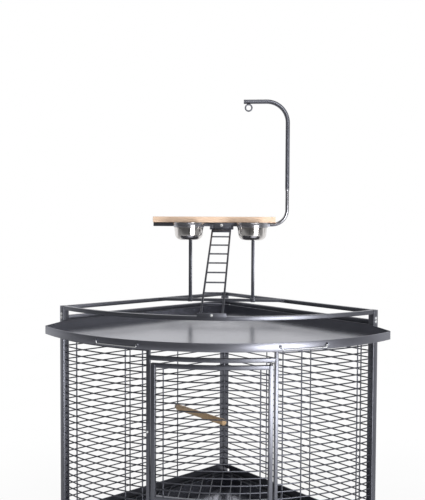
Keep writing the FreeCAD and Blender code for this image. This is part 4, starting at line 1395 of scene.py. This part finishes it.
@dataclass
class FloorGrate(SubAssembly):
    """The slide-out grate: a bar frame of wedge plan and the wires across it."""

    apex: float = 45.2548
    low: float = 365.0
    bar: float = 8.0
    wire_reach: float = 823.0

    def build(self) -> None:
        """Build the frame and its wires."""
        mid = self.low + self.bar / 2
        lean = self.bar / math.sqrt(2.0)
        apex, radius = self.apex + lean, PLAN.outer - self.bar / 2
        x, y = PLAN.tip(apex, 0.0, radius)
        end = math.degrees(math.atan2(x, -y))
        bars = Shaper(PLAN.front())
        section = Square(self.bar, self.bar, 1.4, 2)
        bars.arc(section, radius, mid, (-end, end), 64)
        for side in Side:
            run = (side.value * x, y + apex, 0.0)
            bars.bar(section, (0.0, -apex, mid), run, [Go(run)])
        self.stand_in(bars, "grate_frame", "bars", FRAME_COAT, "grate")
        wires = Shaper(PLAN.front())
        level, edge = mid + PLAN.wire, radius - self.bar / 2
        for place in PLAN.across(self.wire_reach):
            reach, near = math.sqrt(edge ** 2 - place ** 2), apex + lean + abs(place)
            if reach - near > self.bar:
                wires.rod((place, -reach, level), (place, -near, level), *PLAN.level_wire)
        self.keep(wires, "grate_cross_wires", WIRE_COAT, "grate", "grate_wires",
                  crease=Crease.ROUND)


@dataclass
class LowerShelf(SheetTray):
    """The shelf between the legs: a flat sheet with a skirt under its straight sides."""

    skirt: float = 19.0

    def build(self) -> None:
        """Build the sheet, its front and the skirt."""
        super().build()
        x, y = self.tip()
        rise = AXIS_Z * self.skirt
        inward = (0.0, -self.sheet * math.sqrt(2.0), 0.0)
        shape = Shaper(PLAN.front())
        for side in Side:
            start = Vector((0.0, -self.apex - self.seam * side.value, self.front_low))
            end = start + Vector((side.value * x, y + self.apex, 0.0))
            shape.plate([start, end, end + rise, start + rise], inward, 0.0)
        self.keep(shape, "lower_shelf_skirt", TRAY_COAT, self.body)


@dataclass
class Casters(SubAssembly):
    """Four swivel casters: plate, fork and wheel."""

    side_x: float = 576.29
    side_y: float = -103.567
    back_y: float = 472.725
    front_y: float = -335.097
    plate_turn: float = 45.0
    high: float = 80.0
    trail: float = 20.0
    wheel: float = 25.0
    width: float = 20.0
    axle: float = 4.0
    axle_play: float = 0.08
    fork_half: float = 15.0
    fork_sheet: float = 3.0
    fork_top: float = 79.7
    roof: float = 4.0
    nose: float = 14.0
    tail: float = 28.0
    eye: float = 8.0
    eye_foot: float = 3.0
    eye_rise: float = 5.0
    king_pin: Pair = (5.0, 90.0)
    race: Pair = (10.5, 4.0)
    nut: Pair = (6.4, 3.2)
    tyre_round: float = 3.4
    crown: float = 0.2
    hub: Pair = (9.0, 10.5)
    web_end: Pair = (18.0, 19.5)
    recess: float = 2.5
    recess_round: float = 0.6

    def build(self) -> None:
        """Build the plates under the legs, then each fork and wheel."""
        spots = {"left": (-self.side_x, self.side_y), "right": (self.side_x, self.side_y),
                 "back": (0.0, self.back_y), "front": (0.0, self.front_y)}
        plates = Shaper()
        half = PLAN.post / 2
        for word, spot in spots.items():
            plates.within(turned(*spot, 0.0 if word == "front" else self.plate_turn))
            plates.block((-half, -half, self.high), (half, half, PLAN.foot), 1.0)
        self.keep(plates, "caster_foot_plates", ZINC, CAGE, "caster_plates")
        for word, spot in spots.items():
            self.fork(word, turned(*spot))
            self.roller(word, Matrix.Translation((spot[0], spot[1] - self.trail, self.wheel)))

    def fork(self, word: str, at: Matrix) -> None:
        """Two cheeks under a roof, the king pin, the axle and its nuts.

        Args:
            word: The caster's place in node names.
            at: A frame on its king pin, at floor level.
        """
        shape = Shaper(at)
        top, half, y, z = self.fork_top, self.fork_half, -self.trail, self.wheel
        low, toe = z - self.eye, self.eye_foot
        knee = low + self.eye_rise
        outline = ((self.nose, top), (-self.tail, top), (y - self.eye, knee), (y - toe, low),
                   (y + toe, low), (y + self.eye, knee))
        radius, length = self.nut
        for end in (-1, 1):
            x = end * half
            shape.plate([(x, *spot) for spot in outline], (-end * self.fork_sheet, 0.0, 0.0), 0.6)
            shape.rod((x - end, y, z), (x + end * length, y, z), radius, 6, 0.5)
        shape.block((-half, -self.tail, top - self.roof), (half, self.nose, top), 1.0)
        radius, high = self.king_pin
        shape.rod((0.0, 0.0, top), (0.0, 0.0, high), radius, 20)
        radius, depth = self.race
        top -= self.roof
        shape.rod((0.0, 0.0, top - depth), (0.0, 0.0, top), radius, 28, 1.2)
        shape.rod((1.0 - half, y, z), (half - 1.0, y, z), self.axle, 18)
        self.stand_in(shape, f"caster_fork_{word}", "steel", ZINC, f"fork_{word}")

    def roller(self, word: str, at: Matrix) -> None:
        """A round tyre on a hub with a recess in both faces.

        Args:
            word: The caster's place in node names.
            at: A frame on the wheel's middle.
        """
        half, soft = self.width / 2, self.recess_round
        bore, tread, deep = self.axle + self.axle_play, self.wheel - self.crown, half - self.recess
        corners = zip((*self.hub, *self.web_end), (half, deep, deep, half))
        face = [(bore, half, 0.0), *((radius, height, soft) for radius, height in corners),
                (tread, half, self.tyre_round)]
        profile = [(radius, -height, rounding) for radius, height, rounding in face]
        profile += [(self.wheel, 0.0, 0.0), *reversed(face)]
        shape = Shaper(at @ heading((0.0, 0.0, 0.0), AXIS_X)).lathe(profile, 56, 3)
        self.stand_in(shape, f"caster_wheel_{word}", "tyre", RUBBER, f"wheel_{word}")


@dataclass
class PlayStand(SubAssembly):
    """The stand over the cage: uprights, beam, board, bracket, ladder and foot plate."""

    spread: float = 130.0
    tube: float = 13.6
    shoe: float = 2.0
    shoe_rise: float = 5.0
    beam_low: float = 1480.0
    beam: float = 16.0
    beam_ends: Pair = (-285.0, 200.0)
    board_ends: Pair = (-286.0, 222.0)
    board_depth: float = 36.0
    board_thick: float = 24.0
    bracket: tuple[float, float, float] = (98.0, 3.0, 29.0)
    bracket_bolt: Pair = (4.6, 3.4)
    bracket_bolt_rise: float = 17.5
    foot: tuple[float, float, float] = (100.0, 3.0, 15.0)
    foot_low: float = 1176.0
    foot_face: float = -347.65
    foot_bolt: Pair = (3.8, 2.8)
    foot_bolt_rise: float = 7.5
    plate_round: float = 0.9
    ladder_width: float = 74.0
    ladder_rail: float = 7.0
    ladder_length: float = 612.0
    ladder_lean: float = 28.0
    ladder_start: Pair = (-345.80, 1183.24)
    rung: float = 3.0
    rung_count: int = 8
    head: Pair = (26.0, 12.0)

    def build(self) -> None:
        """Build the stand from the guard rail upwards."""
        self.posts()
        self.board()
        self.plates()
        self.ladder()

    def posts(self) -> None:
        """Uprights and the beam on them."""
        y, half = PLAN.stand_y, self.tube / 2
        wide = half + self.shoe
        shape = Shaper()
        for x in (-self.spread, self.spread):
            shape.block((x - half, y - half, PLAN.guard), (x + half, y + half, self.beam_low), 1.2)
            shape.block((x - wide, y - wide, PLAN.guard - self.tube),
                        (x + wide, y + wide, PLAN.guard + self.shoe_rise), 1.0)
        self.keep(shape, "stand_upright_tubes", FRAME_COAT, CAGE, "stand_uprights")
        half, (left, right) = self.beam / 2, self.beam_ends
        shape = Shaper().block((left, y - half, self.beam_low),
                               (right, y + half, self.beam_low + self.beam), 1.4)
        self.stand_in(shape, "stand_beam", "tube", FRAME_COAT)

    def board(self) -> None:
        """The wooden board, with softened edges."""
        y, half, low = PLAN.stand_y, self.board_depth / 2, self.beam_low + self.beam
        left, right = self.board_ends
        shape = Shaper().block((left, y - half, low), (right, y + half, low + self.board_thick),
                               2.4, 4)
        self.stand_in(shape, "perch_board", "plank", PINE)

    def plates(self) -> None:
        """The ladder's bracket on the beam and its foot plate on the guard rail, with bolts."""
        beam_face, beam_top = PLAN.stand_y - self.beam / 2, self.beam_low + self.beam
        plates = {"bracket": (self.bracket, beam_face, beam_top - self.bracket[2]),
                  "foot": (self.foot, self.foot_face, self.foot_low)}
        heads = ((self.bracket_bolt_rise, self.bracket_bolt), (self.foot_bolt_rise, self.foot_bolt))
        bolts = Shaper()
        for (word, plate), (rise, head) in zip(plates.items(), heads):
            (width, thick, height), face, low = plate
            bolts.bolt((0.0, face - thick, low + rise), -AXIS_Y, *head)
            shape = Shaper().block((-width / 2, face - thick, low),
                                   (width / 2, face, low + height), self.plate_round)
            self.stand_in(shape, f"ladder_{word}", "plate", FRAME_COAT)
        self.keep(bolts, "ladder_bolts", ZINC)

    def ladder(self) -> None:
        """Two rails, round rungs and a flat head."""
        lean = Matrix.Rotation(math.radians(self.ladder_lean), 4, "X")
        shape = Shaper(Matrix.Translation((0.0, *self.ladder_start)) @ lean)
        half, reach = self.ladder_rail / 2, self.ladder_width / 2
        for x in (-reach, reach):
            shape.block((x - half, 0.0, -half), (x + half, self.ladder_length, half), 1.2)
        for index in range(1, self.rung_count + 1):
            y = self.ladder_length * index / (self.rung_count + 1)
            shape.rod((-reach, y, 0.0), (reach, y, 0.0), self.rung, 14)
        low, high = (self.ladder_length - drop for drop in self.head)
        shape.block((-reach, low, -half), (reach, high, half), 1.0)
        self.stand_in(shape, "ladder", "steel", FRAME_COAT)


@dataclass
class FeedBowl(SubAssembly):
    """A steel bowl that lifts out of a ring on the beam."""

    side: Side
    spread: float = 128.0
    offset: float = 84.0
    ring: float = 62.0
    ring_wall: float = 2.0
    ring_low: float = 1476.5
    ring_high: float = 1494.0
    ring_round: float = 0.7
    arm: float = 12.0
    beam_half: float = 8.0
    rim: float = 1495.6
    rim_low: float = 1494.4
    base: float = 1425.6
    sheet: float = 1.2
    inside: float = 59.0
    neck: float = 1472.5
    neck_round: float = 4.0
    rim_round: float = 0.35
    under_round: float = 0.4
    mouth_round: float = 1.6
    belly: float = 54.0
    curve: float = 22.0

    def frame(self) -> Matrix:
        """A frame on the bowl's axis."""
        return turned(self.side.value * self.spread, PLAN.stand_y - self.offset)

    def build(self) -> None:
        """Build the ring with its arm, and the bowl."""
        inner, half = self.ring - self.ring_wall, self.arm / 2
        low, back = self.ring_low, self.offset - self.beam_half
        shape = Shaper(self.frame())
        shape.ring((inner, self.ring), (low, self.ring_high), self.ring_round, 72, 2)
        shape.block((-half, inner, low), (half, back, low + self.arm), 1.0)
        self.stand_in(shape, f"bowl_ring_{self.side.word}", "band", BRIGHT_COAT)
        self.bowl()

    def bowl(self) -> None:
        """The bowl: a rolled rim, a slight taper and a wide round belly."""
        base, side, edge, soft = self.base, self.inside, self.ring, self.rim_round
        bottom, lining = base + self.sheet, side - self.sheet
        profile = [(0.0, base, 0.0), (self.belly, base, self.curve),
                   (side, self.neck, self.neck_round), (side, self.rim_low, self.under_round),
                   (edge, self.rim_low, soft), (edge, self.rim, soft),
                   (lining, self.rim, self.mouth_round), (lining, self.neck, self.neck_round),
                   (self.belly - self.sheet, bottom, self.curve - self.sheet), (0.0, bottom, 0.0)]
        shape = Shaper(self.frame()).lathe(profile, 96, 8)
        word = self.side.word
        self.stand_in(shape, f"play_bowl_{word}", "steel", BOWL_STEEL, f"bowl_{word}")


@dataclass
class ToyCane(SubAssembly):
    """The toy cane: a bent rod in the beam, a swivelling bent tube and its eye."""

    reach: float = 269.0
    rod: float = 6.0
    sheath: float = 7.6
    bend: float = 61.0
    socket: float = 130.0
    beam_end: float = 200.0
    level: float = 1488.0
    joint: float = 1636.0
    sleeve_in: float = 60.0
    collar: float = 8.0
    gap: float = 0.3
    tube: float = 8.8
    tube_bend: float = 87.0
    top: float = 1992.0
    tip: float = 88.5
    eye_x: float = 108.5
    eye_z: float = 1967.45
    eye_outer: float = 16.5
    eye_bore: float = 10.0
    eye_round: float = 0.98

    def build(self) -> None:
        """Build the rod, the tube and the eye."""
        self.lower()
        self.upper()
        self.eye()

    def lower(self) -> None:
        """The bent rod, a sheath over it from the beam on, and a collar under the joint."""
        y, side, foot = PLAN.stand_y, self.reach - self.bend, self.level + self.bend
        high = self.joint - self.gap
        corner = Turn((side, y, foot), AXIS_Y, -90.0, 16)
        layers = ((Round(self.rod, 20), self.socket, self.joint + self.sleeve_in),
                  (Round(self.sheath, 24), self.beam_end, high))
        shape = Shaper()
        for section, start, end in layers:
            path = [Go((side - start, 0.0, 0.0)), corner, Go((0.0, 0.0, end - foot))]
            shape.bar(section, (start, y, self.level), AXIS_X, path)
        shape.rod((self.reach, y, high - self.collar), (self.reach, y, high), self.tube, 24, 0.8)
        self.stand_in(shape, "cane_lower", "rod", BRIGHT_COAT)

    def upper(self) -> None:
        """The tube over the joint, bent to the front of the board's middle."""
        y, side, foot = PLAN.stand_y, self.reach - self.tube_bend, self.top - self.tube_bend
        path = [Go((0.0, 0.0, foot - self.joint)), Turn((side, y, foot), AXIS_Y, -90.0, 20),
                Go((self.tip - side, 0.0, 0.0))]
        shape = Shaper().bar(Round(self.tube, 24), (self.reach, y, self.joint), AXIS_Z, path)
        self.stand_in(shape, "cane_upper", "tube", FRAME_COAT, "cane")

    def eye(self) -> None:
        """The round eye under the tube's tip."""
        wire = (self.eye_outer - self.eye_bore) / 2
        shape = Shaper(heading((self.eye_x, PLAN.stand_y, self.eye_z), AXIS_Y))
        shape.ring((self.eye_bore, self.eye_outer), (-wire, wire), wire * self.eye_round, 40, 5)
        self.stand_in(shape, "toy_eye", "ring", FRAME_COAT, "cane", Crease.ROUND)


@dataclass
class InsidePerch(SubAssembly):
    """The bolt-on wooden perch inside the cage."""

    along: float = 286.0
    level: float = 700.0
    radius: float = 12.5
    near: float = 17.8
    length: float = 300.0
    bolt_level: float = 705.0
    bolt: float = 2.8
    nut: Pair = (4.0, 6.0)
    washer: Pair = (8.0, 10.0)
    washer_end: float = 9.4

    def build(self) -> None:
        """Build the dowel and its bolt, nut and washer outside the wall."""
        x, z = self.along, self.level
        shape = Shaper(PLAN.left_wall())
        shape.rod((x, self.near, z), (x, self.near + self.length, z), self.radius, 32, 1.6)
        self.stand_in(shape, "perch", "dowel", DOWEL)
        z = self.bolt_level
        (start, nut), (face, washer) = self.nut, self.washer
        shape = Shaper(PLAN.left_wall())
        shape.rod((x, start, z), (x, face, z), nut, 6, 0.4)
        shape.rod((x, face, z), (x, self.washer_end, z), washer, 28, 0.3)
        shape.rod((x, start, z), (x, self.near, z), self.bolt, 14)
        self.keep(shape, "perch_fixing", ZINC)


@dataclass(frozen=True)
class Softbox:
    """A soft rectangular light."""

    name: str
    spot: Point
    aim: Point
    size: Pair
    power: float

    def build(self) -> None:
        """Stand the light in the studio."""
        lamp = bpy.data.lights.new(self.name, "AREA")
        lamp.shape = "RECTANGLE"
        lamp.size, lamp.size_y = self.size
        lamp.energy = self.power
        holder = bpy.data.objects.new(self.name, lamp)
        holder.location = self.spot
        way = Vector(self.aim) - Vector(self.spot)
        holder.rotation_euler = way.to_track_quat("-Z", "Y").to_euler()
        bpy.context.scene.collection.objects.link(holder)


@dataclass
class Studio:
    """Floor, light and camera, in metres and degrees."""

    eye: tuple[float, float, float] = (0.175, -2.6936, 1.5)
    yaw: float = -4.20
    pitch: float = -2.33
    roll: float = 0.25
    lens: float = 50.4
    sensor: float = 36.0
    floor_half: float = 30.0
    softboxes: tuple[Softbox, ...] = (
        Softbox("key_softbox", (2.28, -3.31, 0.72), (0.27, -0.44, 0.9), (1.8, 1.4), 118.0),
        Softbox("top_softbox", (0.9, -2.4, 3.6), (0.0, 0.1, 1.4), (2.4, 2.0), 60.0))
    dim: float = 0.19
    bright: float = 1.0
    crown: float = 0.8
    fill: float = 0.22

    def build(self) -> None:
        """Set up the floor, the lights, the surroundings and the camera."""
        self.floor()
        for softbox in self.softboxes:
            softbox.build()
        self.surroundings()
        self.camera()
        bpy.context.scene.view_settings.view_transform = "Standard"

    def floor(self) -> None:
        """A wide pale floor."""
        mesh = bmesh.new()
        bmesh.ops.create_grid(mesh, x_segments=2, y_segments=2, size=self.floor_half)
        data = bpy.data.meshes.new("studio_floor")
        mesh.to_mesh(data)
        mesh.free()
        data.materials.append(FLOOR.material())
        floor = bpy.data.objects.new("studio_floor", data)
        bpy.context.scene.collection.objects.link(floor)

    def surroundings(self) -> None:
        """White surroundings behind the cage that fade to a dimmer room in front of it."""
        world = bpy.data.worlds.new("studio")
        world.use_nodes = True
        bpy.context.scene.world = world
        graph = Graph(world.node_tree)
        way = graph.node("ShaderNodeTexCoord", output="Generated")
        aside, depth, height = (graph.axis(way, index) for index in range(3))
        screen = graph.step(depth, -0.1, 0.5) * (1.0 - graph.step(height, 0.5, 0.8))
        crown = graph.step(height, 0.31, 0.45) * self.crown
        fill = graph.step(aside, 0.55, 1.0) * self.fill
        level = screen * (crown + self.bright - self.dim) + fill + self.dim
        view = graph.node("ShaderNodeLightPath", output="Is Camera Ray")
        level = level * (1.0 - view) + view * self.bright
        glow = graph.node("ShaderNodeBackground", None, {"Color": level, "Strength": 1.0})
        graph.node("ShaderNodeOutputWorld", None, {"Surface": glow})

    def camera(self) -> None:
        """The camera at the photograph's angle."""
        yaw, pitch, roll = (math.radians(turn) for turn in (self.yaw, self.pitch, self.roll))
        data = bpy.data.cameras.new("studio_camera")
        data.lens = self.lens
        data.sensor_width = self.sensor
        camera = bpy.data.objects.new("studio_camera", data)
        level = Matrix.Rotation(-yaw, 4, "Z") @ Matrix.Rotation(math.pi / 2 + pitch, 4, "X")
        roll_turn = Matrix.Rotation(roll, 4, "Z")
        camera.matrix_world = Matrix.Translation(self.eye) @ level @ roll_turn
        bpy.context.scene.collection.objects.link(camera)
        bpy.context.scene.camera = camera


def main() -> None:
    """Build and dress the cage, log each piece's finish and faces, and set up its studio."""
    logging.basicConfig(level=logging.INFO, format="%(name)s: %(message)s")
    top_tray = SheetTray("top_tray", "tray", apex=45.2548, middle=193.81, radius=787.0, low=1097.1,
                         high=1127.6, front_low=1084.1, front_high=1113.1, taper=99.0)
    bottom_tray = SheetTray("bottom_tray", "low_tray", apex=45.2548, middle=0.0, radius=PLAN.outer,
                            low=318.0, high=356.0, front_low=318.0, front_high=356.0)
    shelf = LowerShelf("lower_shelf", CAGE, apex=35.3553, middle=0.0,
                       radius=PLAN.outer - PLAN.post, low=148.5, high=150.0, front_low=130.0,
                       front_high=150.0, hem=0.8)
    parts = (CageFrame(), BarPanels(), DoorSet(), top_tray, TrayPulls(), bottom_tray, FloorGrate(),
             shelf, Casters(), PlayStand(), FeedBowl(Side.LEFT), FeedBowl(Side.RIGHT), ToyCane(),
             InsidePerch())
    for part in parts:
        part.build()
        part.dress()
        for piece, finish in part.made:
            log.info("%s in %s, %d faces", piece.name, finish.name, len(piece.data.polygons))
    Studio().build()


if __name__ == "__main__":
    main()
